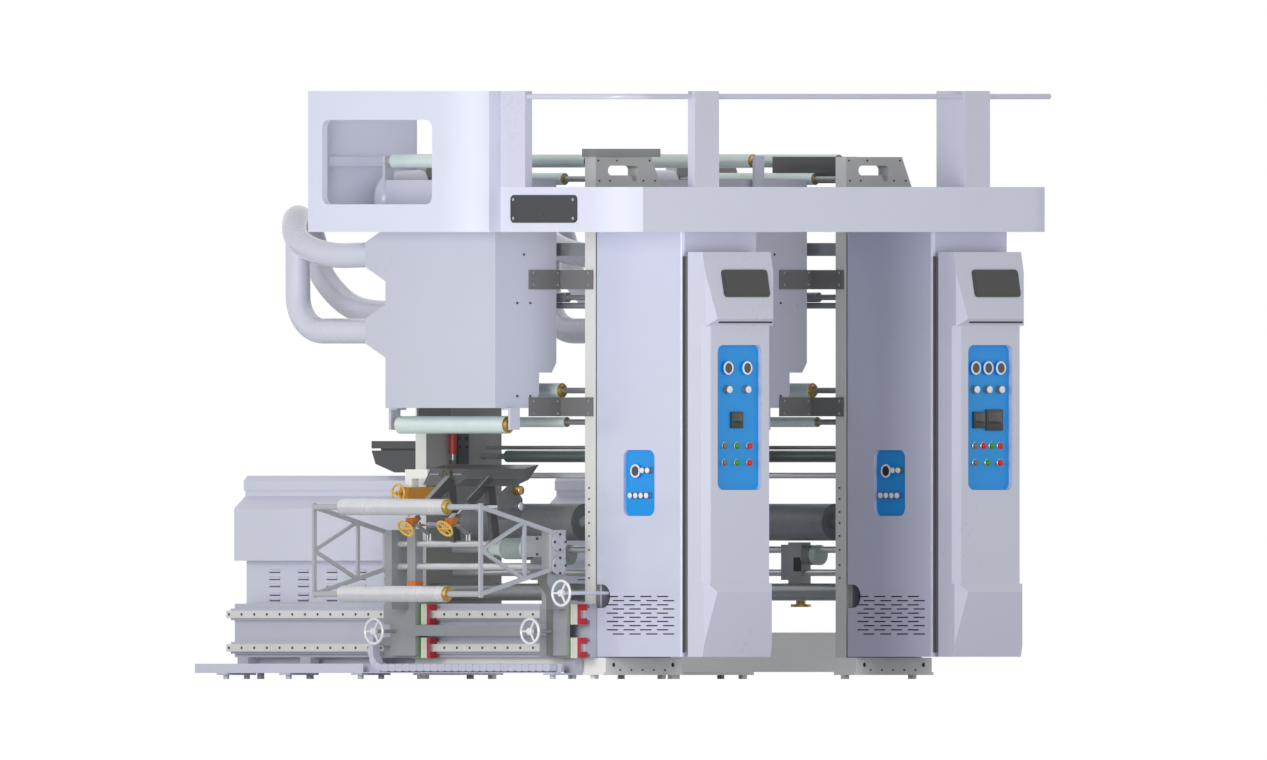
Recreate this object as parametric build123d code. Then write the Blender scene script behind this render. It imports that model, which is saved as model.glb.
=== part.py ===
from build123d import *
import os
from math import atan2, cos, degrees, hypot, radians

# A two-unit web printing press in millimetres, with +Z up.
# +X is the way the web runs, -Y is the operator's side and +Y the drive side.
# While the pieces are made, x = 0 is the upstream edge of the first unit's side
# frames, y = 0 is the middle of the web and z = 0 is the floor. At the end the
# whole press is moved so that its origin is under the middle of its box.

# Driving dimensions
units = 2
unit_pitch = 2126.0
running_gap = 0.05
slide_gap = 0.3

# Side frames and base
frame_inside = 674.0
frame_thick = 90.0
frame_length = 640.0
frame_top = 3132.0
frame_nose_x = 550.0
frame_nose_z = 2965.0
frame_shoulder_z = 2770.0
frame_top_x = 473.0
slot_low_z = 3022.0
slot_high_z = 3080.0
slot_start_x = 105.0
slot_end_x = 363.0
slot_leg_x = 305.0
slot_leg_z = 2985.0
slot_round = 28.0
base_top = 128.0
base_flange_top = 42.0
foot_height = 24.0
foot_size = 36.0
foot_inset = 35.0
flange_out = 15.0
base_near_depth = 176.0
base_far_depth = 96.0
base_hole_r = 14.0
base_hole_inset = 70.0
base_hole_depth = 40.0
sole_bar_top = 279.0
sole_bar_thick = 40.0
top_plate_x = (-13.0, 538.0)
top_plate_thick = 48.0
top_plate_over = 10.0

# Operator cabinet beside each near frame
cabinet_spacer = 12.0
spacer_inset = (40.0, 60.0)
cabinet_front = 1501.0
cabinet_floor = 133.0
cabinet_round = 24.0
wheel_port_high = 567.0
wheel_port_low = 426.0
wheel_port_depth = 110.0
wheel_port_run = 150.0
wheel_port_round = 68.0
vent_rows = 10
vent_row_pitch = 25.0
vent_length = 98.0
vent_height = 8.0
vent_pitch = 142.0
vent_shift = 51.0
vent_depth = 6.0
vent_top_z = 495.0
vent_first_y = 905.0
vents_in_row = 4
side_panel_y = (1001.0, 1264.0)
side_panel_z = (978.0, 1374.0)
side_panel_depth = 25.0
side_panel_round = 48.0

# Console that stands on the front of each cabinet
console_back = 1546.0
console_front = 1700.0
console_length = 576.0
console_top = 2562.0
console_bevel = 40.0
neck_inset = 24.0
head_low_z = 2162.0
head_under_z = 2120.0
head_proud = 47.0
head_back = 28.0
head_bevel = 52.0
skirt_top_z = 572.0
skirt_edge_z = 522.0
skirt_proud = 41.0
skirt_tuck = 30.0
skirt_bevel = 58.0
panel_x = (99.0, 476.0)
panel_z = (1134.0, 2004.0)
panel_depth = 35.0
panel_round = 45.0
panel_skin = 3.0
screen_x = (134.0, 518.0)
screen_z = (2292.0, 2454.0)
screen_thick = 6.0
screen_round = 22.0

# Instruments on the panels
dial_r = 43.5
dial_height = 16.0
knob_r = 20.0
knob_height = 26.0
button_r = 17.0
button_height = 18.0
meter_size = 96.0
meter_height = 12.0
big_meter = (137.0, 124.0)
meter_shift = (-71.5, 57.5)
dial_z = 1866.0
dial_pitch = (160.0, 106.0)
knob_z = 1737.0
meter_z = 1554.0
button_rows_z = (1399.0, 1297.0)
button_pitch = 104.0
side_dial_z = 1248.0
side_dial_y = 38.0
side_small = (15.0, 1252.0, -30.0, -42.0, 2)
side_row = (17.0, 1101.0, 72.0, -46.0, 4)

# Drying hood over the printing nip
dryer_front = 554.0
dryer_half = 466.0
dryer_low_z = 1626.0
dryer_top_z = 2994.0
dryer_step_x = -182.0
dryer_back_x = -35.0
dryer_step_z = 1838.0
dryer_low_cut = (30.0, 90.0)
dryer_back_cut = (40.0, 60.0)
dryer_taper_out = 170.0
dryer_taper_wide = 260.0
dryer_taper_high = 320.0
duct_r = 75.0
duct_upper_z = 2546.0
duct_lower_z = 2088.0
duct_bend_r = 240.0
duct_reach = 1283.0
duct_lean = 55.0
duct_loop = ((-479.0, 1000.0, 2546.0), (-425.0, 1340.0, 2640.0), (-290.0, 1500.0, 2738.0),
             (-90.0, 1640.0, 2757.0), (60.0, 1690.0, 2640.0), (100.0, 1680.0, 2470.0),
             (100.0, 1560.0, 2330.0), (100.0, 1318.0, 2212.0), (100.0, 1000.0, 2200.0))
vent_pipe_x = (-402.0, -120.0)
vent_pipe_y = 610.0
vent_pipe_z = (2785.0, 2979.0)
vent_pipe_bend = 96.0

# Brackets, shafts and rollers between the side frames
bracket_z = ((2338.0, 2454.0), (1576.0, 1690.0))
bracket_thick = 8.0
bracket_reach = 272.0
bracket_lap = 72.0
top_bar_x = (20.0, 80.0)
top_bar_z = (2538.0, 2616.0)
web_half = 472.5
shaft_r = 17.5
hanger_thick = 20.0
hanger_half = 40.0
hanger_over = 30.0
hanger_root = 60.0
hanger_lap = 12.0
dryer_roller = (-435.0, 1525.0, 53.0)
top_roller = (-487.0, 3108.0, 42.0)
infeed_roller = (20.0, 1731.0, 45.0)
transfer_roller = (480.0, 1336.0, 36.0)
fixed_rollers = ((50.0, 1542.0, 30.0), (30.0, 3000.0, 36.0), (230.0, 3108.0, 39.0),
                 (60.0, 2290.0, 30.0), (60.0, 2240.0, 18.0))
roller_clear = 24.0
roller_lip_share = 0.3
roller_end_share = 0.72
cylinder_x = 195.0
cylinder_z = 941.0
cylinder_r = 111.0
journal_r = 40.0
guide_bars = ((130.0, 1221.0, 17.0), (520.0, 1388.0, 12.0))
lower_tube = (60.0, 522.0, 52.0)
head_block_x = (80.0, 180.0)
head_block_y = (-674.0, -60.0)
head_block_z = (2976.0, 3132.0)

# Lifting gear on its two bars, and the gear cases on the far frame
lift_bars = ((240.0, 776.0, 20.0), (240.0, 638.0, 20.0))
lift_column_x = (200.0, 280.0)
lift_column_y = (-183.0, -72.0)
lift_column_z = (546.0, 820.0)
lift_block_y = (-72.0, 4.0)
lift_block_z = (594.0, 806.0)
lift_block_inset = 15.0
lift_shoe_y = (-188.0, -92.0)
lift_shoe_z = (510.0, 546.0)
lift_stem = (28.0, 448.0)
lift_base = (60.0, 432.0)
motor_r = 54.0
motor_z = 744.0
motor_length = 118.0
motor_fins = 7
motor_fin_thick = 2.0
motor_fin_out = 6.0
guide_plate_x = (257.0, 352.0)
guide_plate_z = (1290.0, 1470.0)
guide_plate_thick = 10.0
air_cylinder = (204.0, 650.0, 22.0)
air_cylinder_z = (1350.0, 1476.0)
air_rod = (9.0, 1290.0)
air_lug = 24.0
gear_case_x = (20.0, 140.0)
gear_case_bar = (1158.0, 1383.0, 1428.0)
gear_case_low = ((764.0, 1371.0), (1158.0, 1371.0), (1124.0, 1290.0), (963.0, 1239.0), (764.0, 1239.0))
gear_case_web = 40.0

# Doctor blade device that rides on the carriage
blade_half = 400.0
blade_outline = ((-278.0, 1200.0), (-300.0, 1165.0), (-205.0, 1195.0), (-117.0, 1286.0), (-236.0, 1262.0))
blade_lip = ((-384.0, 1156.0), (-205.0, 1195.0), (-278.0, 1200.0))
blade_lip_y = (-400.0, 60.0)
blade_end = ((-470.0, 955.0), (-300.0, 955.0), (-272.0, 1000.0), (-272.0, 1080.0), (-300.0, 1112.0),
             (-300.0, 1176.0), (-384.0, 1160.0), (-470.0, 1100.0))
blade_end_thick = 16.0
blade_pin = (-328.0, 1035.0, 24.0)
blade_knob = (-330.0, 1132.0, 27.0)
blade_knob_reach = 46.0
blade_arm_y = 166.0
blade_arm_thick = 30.0
blade_arm_width = 60.0
blade_screw_top = (-306.0, 1195.0)
blade_screw_end = (-700.0, 888.0)
blade_arm_share = 0.475
blade_wheel_share = 0.952
blade_screw_r = 9.0
blade_collar = 70.0
blade_collar_side = 44.0
blade_collar_back = 112.0
bridge_bars = ((-258.0, 810.0, 20.0), (-258.0, 675.0, 20.0))
reducer_x = (-326.0, -190.0)
reducer_y = (-636.0, -456.0)
reducer_z = (732.0, 858.0)
drive_motor_z = 782.0
drive_motor_steps = ((66.0, 18.0), (56.0, 200.0), (40.0, 90.0))
gearbox_x = (-300.0, -80.0)
gearbox_y = (522.0, 602.0)
gearbox_z = (1076.0, 1152.0)
gearbox_wheel_x = -350.0
gearbox_round = 14.0
gearbox_neck_x = (-262.0, -205.0)
gearbox_neck_z = (1204.0, 1256.0)
small_wheel_r = 58.0
small_rim_r = 5.0
small_hub_r = 13.0
small_hub_length = 24.0
small_spoke_r = 4.0

# Drive cabinets on the drive side
drive_start = 780.0
drive_link_x = (120.0, 480.0)
drive_link_z = (300.0, 900.0)
drive_ends = (2258.0, 1745.0)
drive_body_x = (60.0, 600.0)
drive_hood_x = -45.0
drive_body_z = 710.0
drive_hood_z = 1022.0
drive_lid_z = 1098.0
drive_band_z = 1131.0
drive_slab_z = 1190.0
drive_top_z = 1220.0
drive_step = 14.0
drive_slope = 95.0
drive_top_cut = 20.0
drive_foot_r = 22.0
drive_foot_inset = 60.0
louvre_r = 9.0
louvre_length = 93.0
louvre_pitch = 242.7
louvre_first_y = 1046.0
louvre_z = (650.0, 607.0, 565.0, 513.0, 480.0)

# Rail beam, carriage and its rollers
beam_near = -774.0
beam_far = 2238.0
beam_low_z = 130.0
beam_high_z = 452.0
beam_web = 60.0
beam_flange = 94.0
rail_z = (187.0, 388.0)
rail_width = 45.0
rail_height = 38.0
rail_pad = 72.0
beam_foot_y = (-620.0, 1010.0, 1620.0, 2150.0)
beam_foot_width = 90.0
beam_foot_x = (-80.0, -10.0)
block_width = 120.0
block_reach = 90.0
block_height = 60.0
saddle_thick = 32.0
saddle_far_y = (579.0, 791.0)
saddle_near_y = (-700.0, -533.0)
saddle_low_z = 140.0
saddle_high_z = 580.0
tie_bar_z = (258.0, 324.0)
post_x = (-330.0, -186.0)
post_width = 62.0
post_low_z = 420.0
slide_column_x = (-290.0, -226.0)
slide_column_y = (477.0, 545.0)
slide_column_z = (588.0, 900.0)
slide_shoe_z = 556.0
arm_y = 706.0
arm_thick = 16.0
arm_bar = 26.0
brace_bar = 21.0
arm_over = 22.0
arm_lap = 20.0
flange_in = 60.0
arm_tip_x = -917.0
arm_brace_x = -547.0
arm_root_x = -330.0
arm_tip_z = (510.0, 1032.0)
arm_root_z = (648.0, 894.0)
carriage_roller_r = 49.0
carriage_roller_y = (-433.0, 482.0)
flange_r = 54.0
flange_thick = 14.0
flange_z = (681.0, 822.0)
wheel_r = 80.0
wheel_rim_r = 6.0
wheel_hub_r = 16.0
wheel_hub_length = 34.0
wheel_spoke_r = 5.0
spindle_r = 11.0
lock_wheel_x = -363.0
lock_wheel_z = 286.0
lock_wheel_y = (-570.0, 754.0)
port_wheel_x = -393.0
port_wheel_y = -865.0
port_wheel_z = 515.0
chain_low_z = 46.0
chain_height = 44.0
chain_width = 60.0
chain_bend_r = 98.0
chain_core = 6.0
chain_lug = 50.0
chain_link = 50.0
chain_pitch = 58.0
chain_x = -216.0
chain_end_y = 880.0
chain_end_z = 250.0
chain_near_y = -620.0
tray_gap = 6.0
tray_z = (36.0, 92.0)
tray_y = (-650.0, 2380.0)
tray_wall = 4.0
tray_lip_y = 954.0
tray_arm = 12.0

# Canopy, window box, posts and handrail overhead
canopy_low_z = 2682.0
canopy_high_z = 2952.0
canopy_wall = 40.0
canopy_deck = 40.0
canopy_front_x = -666.0
canopy_front_y = -1700.0
canopy_end_x = 2992.0
canopy_corner_x = -534.0
canopy_corner_y = -1382.0
canopy_end_r = 200.0
box_front_x = -881.0
box_far_y = 796.0
box_near_y = -341.0
box_turn_x = -764.0
box_turn_y = -624.0
box_top_z = 3528.0
box_wall = 45.0
box_back_x = 0.0
box_ledge_z = (3078.0, 3132.0)
box_ledge_deep = 30.0
window_y = (-256.0, 677.0)
window_z = (canopy_low_z + 166.0, box_top_z - 174.0)
window_round = 50.0
post_1_y = (-831.0, -623.0)
post_2_x = (-93.0, 111.0)
post_3_x = (2198.0, 2411.0)
post_depth = 60.0
post_3_return = 242.0
post_3_thick = 40.0
rail_r = 16.5
rail_bend_r = 200.0
rail_centre_z = box_top_z - 33.0


# Basic shapes

def block(x_span, y_span, z_span):
    """A box from its limits along the three axes."""
    size = [high - low for low, high in (x_span, y_span, z_span)]
    middle = [(low + high) / 2 for low, high in (x_span, y_span, z_span)]
    return Pos(*middle) * Box(*size)


def side_plate(points, y_span):
    """An outline in x and z, thickened along y."""
    plane = Plane(origin=(0, y_span[1], 0), x_dir=(1, 0, 0), z_dir=(0, -1, 0))
    return extrude(plane * Polygon(*points, align=None), amount=y_span[1] - y_span[0], dir=(0, -1, 0))


def cross_plate(points, x_span):
    """An outline in y and z, thickened along x."""
    plane = Plane(origin=(x_span[0], 0, 0), x_dir=(0, 1, 0), z_dir=(1, 0, 0))
    return extrude(plane * Polygon(*points, align=None), amount=x_span[1] - x_span[0], dir=(1, 0, 0))


def bar_y(x, z, radius, y_span):
    """A round bar along y."""
    length = y_span[1] - y_span[0]
    return Pos(x, (y_span[0] + y_span[1]) / 2, z) * Rot(90, 0, 0) * Cylinder(radius, length)


def bar_x(y, z, radius, x_span):
    """A round bar along x."""
    length = x_span[1] - x_span[0]
    return Pos((x_span[0] + x_span[1]) / 2, y, z) * Rot(0, 90, 0) * Cylinder(radius, length)


def bar_z(x, y, radius, z_span):
    """A round bar along z."""
    length = z_span[1] - z_span[0]
    return Pos(x, y, (z_span[0] + z_span[1]) / 2) * Cylinder(radius, length)


def strut(start, end, width, y_span):
    """A flat bar between two points in x and z, thickened along y."""
    run = hypot(end[0] - start[0], end[1] - start[1])
    tilt = degrees(atan2(end[1] - start[1], end[0] - start[0]))
    middle = ((start[0] + end[0]) / 2, (y_span[0] + y_span[1]) / 2, (start[1] + end[1]) / 2)
    return Pos(*middle) * Rot(0, -tilt, 0) * Box(run, y_span[1] - y_span[0], width)


def rounded_y(x_span, z_span, radius, y_span):
    """A box with its four edges along y rounded."""
    solid = block(x_span, y_span, z_span)
    return fillet(solid.edges().filter_by(Axis.Y), radius)


def rounded_x(y_span, z_span, radius, x_span):
    """A box with its four edges along x rounded."""
    solid = block(x_span, y_span, z_span)
    return fillet(solid.edges().filter_by(Axis.X), radius)


def group(*solids):
    """Solids that share one node."""
    found = []
    for solid in solids:
        found.extend(solid.solids())
    return Compound(children=found)


def roller(x, z, radius, y_span, bore):
    """A roller tube on a dead shaft, with its ends stepped down to the bearings."""
    lip = radius * roller_lip_share
    body = bar_y(x, z, radius, (y_span[0] + lip, y_span[1] - lip))
    ends = bar_y(x, z, radius * roller_end_share, y_span)
    return body + ends - bar_y(x, z, bore, (y_span[0] - 1, y_span[1] + 1))


def handwheel(radius, rim_r, hub_r, hub_length, spoke_r, bore):
    """A three-spoke handwheel round the z axis, with its rim at z = 0."""
    rim = Torus(radius - rim_r, rim_r)
    hub = Cylinder(hub_r, hub_length)
    wheel = rim + hub
    for turn in (90, 210, 330):
        reach = radius - rim_r
        spoke = Rot(0, 0, turn) * Pos(reach / 2, 0, 0) * Rot(0, 90, 0) * Cylinder(spoke_r, reach)
        wheel = wheel + spoke
    return wheel - Cylinder(bore, hub_length + 2) if bore else wheel


# Pieces of one unit, with x0 the upstream edge of its frames

def make_base(x0):
    """Two sole beams with flanges and levelling feet, and the bar between them."""
    far = (frame_inside, frame_inside + base_far_depth)
    near = (-frame_inside - base_near_depth, -frame_inside)
    pieces = []
    for span in (near, far):
        beam = block((x0, x0 + frame_length), span, (base_flange_top, base_top))
        flange_x = (x0 - flange_out, x0 + frame_length + flange_out)
        beam = beam + block(flange_x, span, (foot_height, base_flange_top))
        outside = span[1] if span == far else span[0]
        inward = -base_hole_depth if span == far else base_hole_depth
        drill = sorted((outside - inward, outside + inward))
        for x in (x0 + base_hole_inset, x0 + frame_length - base_hole_inset):
            beam = beam - bar_y(x, (base_flange_top + base_top) / 2, base_hole_r, drill)
        middle = (frame_inside + frame_thick / 2) * (1 if span == far else -1)
        for x in (x0 + foot_inset, x0 + frame_length - foot_inset):
            half = foot_size / 2
            foot = block((x - half, x + half), (middle - half, middle + half), (0, foot_height))
            beam = beam + foot
        pieces.append(beam)
    sole_y = (-frame_inside, frame_inside)
    bar = block((x0, x0 + sole_bar_thick), sole_y, (base_flange_top, sole_bar_top))
    return group(*pieces, bar)


def make_side_frame(x0, side):
    """One side frame plate with its sloped shoulder, slot, bearing bore and shaft holes."""
    low = frame_inside if side > 0 else -frame_inside - frame_thick
    span = (low, low + frame_thick)
    outline = [(0, base_top), (frame_length, base_top), (frame_length, frame_shoulder_z),
               (frame_nose_x, frame_nose_z), (frame_top_x, frame_top), (0, frame_top)]
    plate = side_plate([(x0 + x, z) for x, z in outline], span)
    cut = (low - 1, low + frame_thick + 1)
    slot = rounded_y((x0 + slot_start_x, x0 + slot_end_x), (slot_low_z, slot_high_z), slot_round, cut)
    leg = rounded_y((x0 + slot_leg_x, x0 + slot_end_x), (slot_leg_z, slot_high_z), slot_round, cut)
    plate = plate - slot - leg
    plate = plate - bar_y(x0 + cylinder_x, cylinder_z, journal_r + running_gap, cut)
    if side < 0 and x0 == 0:
        plate = plate + block(top_plate_x, (low - top_plate_over, low + frame_thick + top_plate_over),
                              (frame_top, frame_top + top_plate_thick))
    return plate


def make_cross_members(x0):
    """Bars, dead shafts and dryer brackets that hang between the side frames."""
    inside = (-frame_inside, frame_inside)
    pieces = [block([x0 + x for x in top_bar_x], inside, top_bar_z)]
    for x, z, r in guide_bars:
        pieces.append(bar_y(x0 + x, z, r, inside))
    pieces.append(bar_y(x0 + lower_tube[0], lower_tube[1], lower_tube[2], inside))
    for x, z, r in (infeed_roller, transfer_roller):
        pieces.append(bar_y(x0 + x, z, shaft_r, inside))
    for x, z, r in fixed_rollers:
        if r > shaft_r + 1:
            shaft = bar_y(x0 + x, z, shaft_r, inside)
            pieces.append(shaft + bar_y(x0 + x, z, r, (-web_half, web_half)))
        else:
            pieces.append(bar_y(x0 + x, z, r, inside))
    if x0 > 0:
        pieces.append(block([x0 + x for x in head_block_x], head_block_y, head_block_z))
    return group(*pieces)


def make_lift_gear(x0):
    """The lifting column on its two bars, with its motor, shoe and foot."""
    x_span = [x0 + x for x in lift_column_x]
    middle = (x_span[0] + x_span[1]) / 2
    gear = block(x_span, lift_column_y, lift_column_z)
    inset = (x_span[0] + lift_block_inset, x_span[1] - lift_block_inset)
    gear = gear + block(inset, lift_block_y, lift_block_z) + block(inset, lift_shoe_y, lift_shoe_z)
    gear = gear + bar_y(middle, motor_z, motor_r, (lift_column_y[0] - motor_length, lift_column_y[0]))
    for fin in range(motor_fins):
        y = lift_column_y[0] - motor_length * (fin + 1) / (motor_fins + 1)
        fin_y = (y - motor_fin_thick, y + motor_fin_thick)
        gear = gear + bar_y(middle, motor_z, motor_r + motor_fin_out, fin_y)
    shoe_y = (lift_shoe_y[0] + lift_shoe_y[1]) / 2
    gear = gear + bar_z(middle, shoe_y, lift_stem[0], (lift_stem[1], lift_shoe_z[0]))
    gear = gear + bar_z(middle, shoe_y, lift_base[0], (lift_base[1], lift_stem[1]))
    inside = (-frame_inside, frame_inside)
    for x, z, r in lift_bars:
        gear = gear + bar_y(x0 + x, z, r, inside)
    return gear


def make_gear_case(x0):
    """The dark guide plate and air cylinder inside the far frame, and the gear case outside it."""
    face = frame_inside
    plate = block([x0 + x for x in guide_plate_x], (face - guide_plate_thick, face), guide_plate_z)
    x, y, r = air_cylinder
    low, high = air_cylinder_z
    cylinder = bar_z(x0 + x, y, r, (low, high)) + bar_z(x0 + x, y, air_rod[0], (air_rod[1], low))
    for z in (high - air_lug, air_rod[1]):
        cylinder = cylinder + block((x0 + x - r / 2, x0 + x + r / 2), (y, face), (z, z + air_lug))
    outside = frame_inside + frame_thick
    far, bar_low, bar_high = gear_case_bar
    x_span = [x0 + x for x in gear_case_x]
    case = block(x_span, (outside, far), (bar_low, bar_high)) + cross_plate(gear_case_low, x_span)
    case = case + block((x_span[0] + gear_case_web, x_span[1]), (outside, far - gear_case_web),
                        (gear_case_low[0][1], bar_low))
    return group(plate, cylinder, case)


def make_brackets(x0):
    """Angle brackets that carry the dryer on the side frames, four holes in each leaf."""
    pieces = []
    for z_span in bracket_z:
        for side in (-1, 1):
            leaf_y = sorted((side * dryer_half, side * (dryer_half + bracket_thick)))
            wing_y = sorted((side * dryer_half, side * (frame_inside + bracket_lap)))
            leaf = block((x0 - bracket_reach, x0), leaf_y, z_span)
            wing = block((x0 - bracket_thick, x0), wing_y, z_span)
            pieces.append(leaf + wing)
    return pieces


def make_operator_cabinet(x0):
    """The closed cabinet beside the near frame, with its vents, wheel port and panel recess."""
    inner = -frame_inside - frame_thick - cabinet_spacer
    body = block((x0, x0 + frame_length), (-cabinet_front, inner), (cabinet_floor, canopy_low_z))
    body = fillet(body.edges().filter_by(Axis.Z).group_by(Axis.Y)[0], cabinet_round)
    along, high = spacer_inset
    spacer = block((x0 + along, x0 + frame_length - along), (inner, inner + cabinet_spacer),
                   (base_top + high, canopy_low_z - high))
    body = body + spacer
    port = rounded_x((inner - wheel_port_depth, inner + wheel_port_depth),
                     (wheel_port_low, wheel_port_high), wheel_port_round, (x0 - 1, x0 + wheel_port_run))
    body = body - (port & block((x0 - 1, x0 + wheel_port_run), (inner - wheel_port_depth, inner + 1),
                                (wheel_port_low, wheel_port_high)))
    recess = rounded_x((-side_panel_y[1], -side_panel_y[0]), side_panel_z, side_panel_round,
                       (x0 - 1, x0 + side_panel_depth))
    body = body - recess - vent_slots(x0)
    return body + port_wheel_shaft(x0) if x0 == 0 else body


def vent_slots(x0):
    """Staggered rows of short cooling slots low in the cabinet's upstream face."""
    slots = []
    for row in range(vent_rows):
        z = vent_top_z - row * vent_row_pitch
        shift = vent_shift if row % 2 else 0
        for column in range(vents_in_row):
            y = -(vent_first_y + shift + column * vent_pitch)
            slots.append(block((x0 - 1, x0 + vent_depth), (y - vent_length / 2, y + vent_length / 2),
                               (z - vent_height / 2, z + vent_height / 2)))
    return Compound(children=slots)


def bevelled_outline(x0, back, front, bevel):
    """A plan outline with its two front corners cut at 45 degrees."""
    return Polygon((x0, -back), (x0 + console_length, -back), (x0 + console_length, -front + bevel),
                   (x0 + console_length - bevel, -front), (x0 + bevel, -front), (x0, -front + bevel),
                   align=None)


def make_console(x0):
    """The upright console: column, sloping head with its screen, and flared skirt."""
    x_span = (x0, x0 + console_length)
    column = extrude(bevelled_outline(x0, console_back, console_front, console_bevel),
                     amount=console_top - cabinet_floor, dir=(0, 0, 1))
    column = Pos(0, 0, cabinet_floor) * column
    head = cross_plate([(-console_back, console_top), (-console_front + head_back, console_top),
                        (-console_front - head_proud, head_low_z), (-console_front, head_under_z),
                        (-console_back, head_under_z)], x_span)
    head_plan = extrude(bevelled_outline(x0, console_back, console_front + head_proud, head_bevel),
                        amount=console_top, dir=(0, 0, 1))
    skirt = cross_plate([(-console_back, skirt_top_z), (-console_front, skirt_top_z),
                         (-console_front - skirt_proud, skirt_edge_z),
                         (-console_front + skirt_tuck, cabinet_floor),
                         (-console_back, cabinet_floor)], x_span)
    skirt_plan = extrude(bevelled_outline(x0, console_back, console_front + skirt_proud, skirt_bevel),
                         amount=console_top, dir=(0, 0, 1))
    middle = column & block(x_span, (-console_front - 1, -console_back), (skirt_edge_z, head_under_z + 10))
    body = middle + (head & head_plan) + (skirt & skirt_plan)
    neck = block((x0 + neck_inset, x0 + console_length - neck_inset), (-console_back, -cabinet_front),
                 (cabinet_floor + neck_inset, console_top - neck_inset))
    recess = rounded_y((x0 + panel_x[0], x0 + panel_x[1]), panel_z, panel_round,
                       (-console_front - 1, -console_front + panel_depth))
    return body + neck - recess


def make_controls(x0, unit):
    """Panel liners, dials, knobs, meters, push-buttons and the screen of one unit."""
    floor_y = -console_front + panel_depth
    liner = rounded_y((x0 + panel_x[0], x0 + panel_x[1]), panel_z, panel_round,
                      (floor_y - panel_skin, floor_y))
    face = floor_y - panel_skin
    pieces = [liner]
    middle = x0 + (panel_x[0] + panel_x[1]) / 2
    count = 2 if unit == 1 else 3
    pitch = dial_pitch[unit - 1]
    for i in range(count):
        x = middle + (i - (count - 1) / 2) * pitch
        pieces.append(bar_y(x, dial_z, dial_r, (face - dial_height, face)))
        pieces.append(bar_y(x, knob_z, knob_r, (face - knob_height, face)))
    small = (meter_size, meter_size)
    meters = [(0, small)] if unit == 1 else [(meter_shift[0], small), (meter_shift[1], big_meter)]
    for shift, (width, height) in meters:
        x = middle + shift
        pieces.append(block((x - width / 2, x + width / 2), (face - meter_height, face),
                            (meter_z - height / 2, meter_z + height / 2)))
    for z, in_row in zip(button_rows_z, (3 if unit == 1 else 4, 3)):
        for i in range(in_row):
            x = middle + (2 * i / (in_row - 1) - 1) * button_pitch
            pieces.append(bar_y(x, z, button_r, (face - button_height, face)))
    pieces.append(make_screen(x0))
    pieces.extend(side_instruments(x0))
    return group(*pieces)


def make_screen(x0):
    """The dark screen lying on the sloping face of the console head."""
    top = Vector(0, -console_front + head_back, console_top)
    low = Vector(0, -console_front - head_proud, head_low_z)
    lean = degrees(atan2(top.Y - low.Y, top.Z - low.Z))
    middle_z = (screen_z[0] + screen_z[1]) / 2
    share = (top.Z - middle_z) / (top.Z - low.Z)
    middle_y = top.Y + (low.Y - top.Y) * share
    width = screen_x[1] - screen_x[0]
    height = (screen_z[1] - screen_z[0]) / cos(radians(lean))
    plate = Box(width, screen_thick, height)
    plate = fillet(plate.edges().filter_by(Axis.Y), screen_round)
    at = Pos(x0 + (screen_x[0] + screen_x[1]) / 2, middle_y, middle_z)
    return at * Rot(-lean, 0, 0) * Pos(0, -screen_thick / 2, 0) * plate


def side_instruments(x0):
    """Liner, gauge and fittings in the recess on the cabinet's upstream face."""
    floor_x = x0 + side_panel_depth
    liner = rounded_x((-side_panel_y[1], -side_panel_y[0]), side_panel_z, side_panel_round,
                      (floor_x - panel_skin, floor_x))
    face = floor_x - panel_skin
    middle = -(side_panel_y[0] + side_panel_y[1]) / 2
    found = [liner, bar_x(middle + side_dial_y, side_dial_z, dial_r, (face - dial_height, face))]
    for radius, z, first, step, count in (side_small, side_row):
        for i in range(count):
            found.append(bar_x(middle + first + step * i, z, radius, (face - knob_height, face)))
    return found


def make_dryer(x0):
    """The drying hood, with its stepped back, duct tapers and hangers for its roller."""
    y_span = (-dryer_half, dryer_half)
    front = x0 - dryer_front
    step = x0 + dryer_step_x
    back = x0 + dryer_back_x
    outline = [(front, dryer_low_z), (step - dryer_low_cut[0], dryer_low_z),
               (step, dryer_low_z + dryer_low_cut[1]), (step, dryer_step_z),
               (back - dryer_back_cut[0], dryer_step_z), (back, dryer_step_z + dryer_back_cut[1]),
               (back, dryer_top_z), (front, dryer_top_z)]
    hood = side_plate(outline, y_span)
    for z in (duct_upper_z, duct_lower_z):
        wide = Plane(origin=(front + dryer_taper_wide / 2, dryer_half, z), x_dir=(1, 0, 0), z_dir=(0, 1, 0))
        narrow = Plane(origin=(front + duct_r, dryer_half + dryer_taper_out, z), x_dir=(1, 0, 0),
                       z_dir=(0, 1, 0))
        taper = loft([wide * Rectangle(dryer_taper_wide, dryer_taper_high),
                      narrow * Rectangle(duct_r * 2, duct_r * 2)])
        hood = hood + taper
    low_root = dryer_low_z - hanger_lap
    top_root = dryer_top_z - hanger_root
    for (x, z, _), low, high, seat in ((dryer_roller, dryer_roller[1] - hanger_over, dryer_low_z, low_root),
                                       (top_roller, top_root, top_roller[1] + hanger_over, top_root)):
        ends = web_half + roller_clear
        x_span = (x0 + x - hanger_half, x0 + x + hanger_half)
        for side in (-1, 1):
            span = sorted((side * ends, side * (ends + hanger_thick)))
            lap = sorted((side * (dryer_half - hanger_thick), side * (ends + hanger_thick)))
            hood = hood + block(x_span, span, (low, high)) + block(x_span, lap, (seat, seat + hanger_lap))
        hood = hood + bar_y(x0 + x, z, shaft_r, (-ends, ends))
    return hood


def tube(path, radius):
    """A round tube along a path."""
    return sweep(Plane(origin=path @ 0, z_dir=path % 0) * Circle(radius), path=path)


def pipe(points, radii, radius):
    """A round tube along straight runs joined by arcs."""
    return tube(FilletPolyline(*points, radius=radii), radius)


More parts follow.
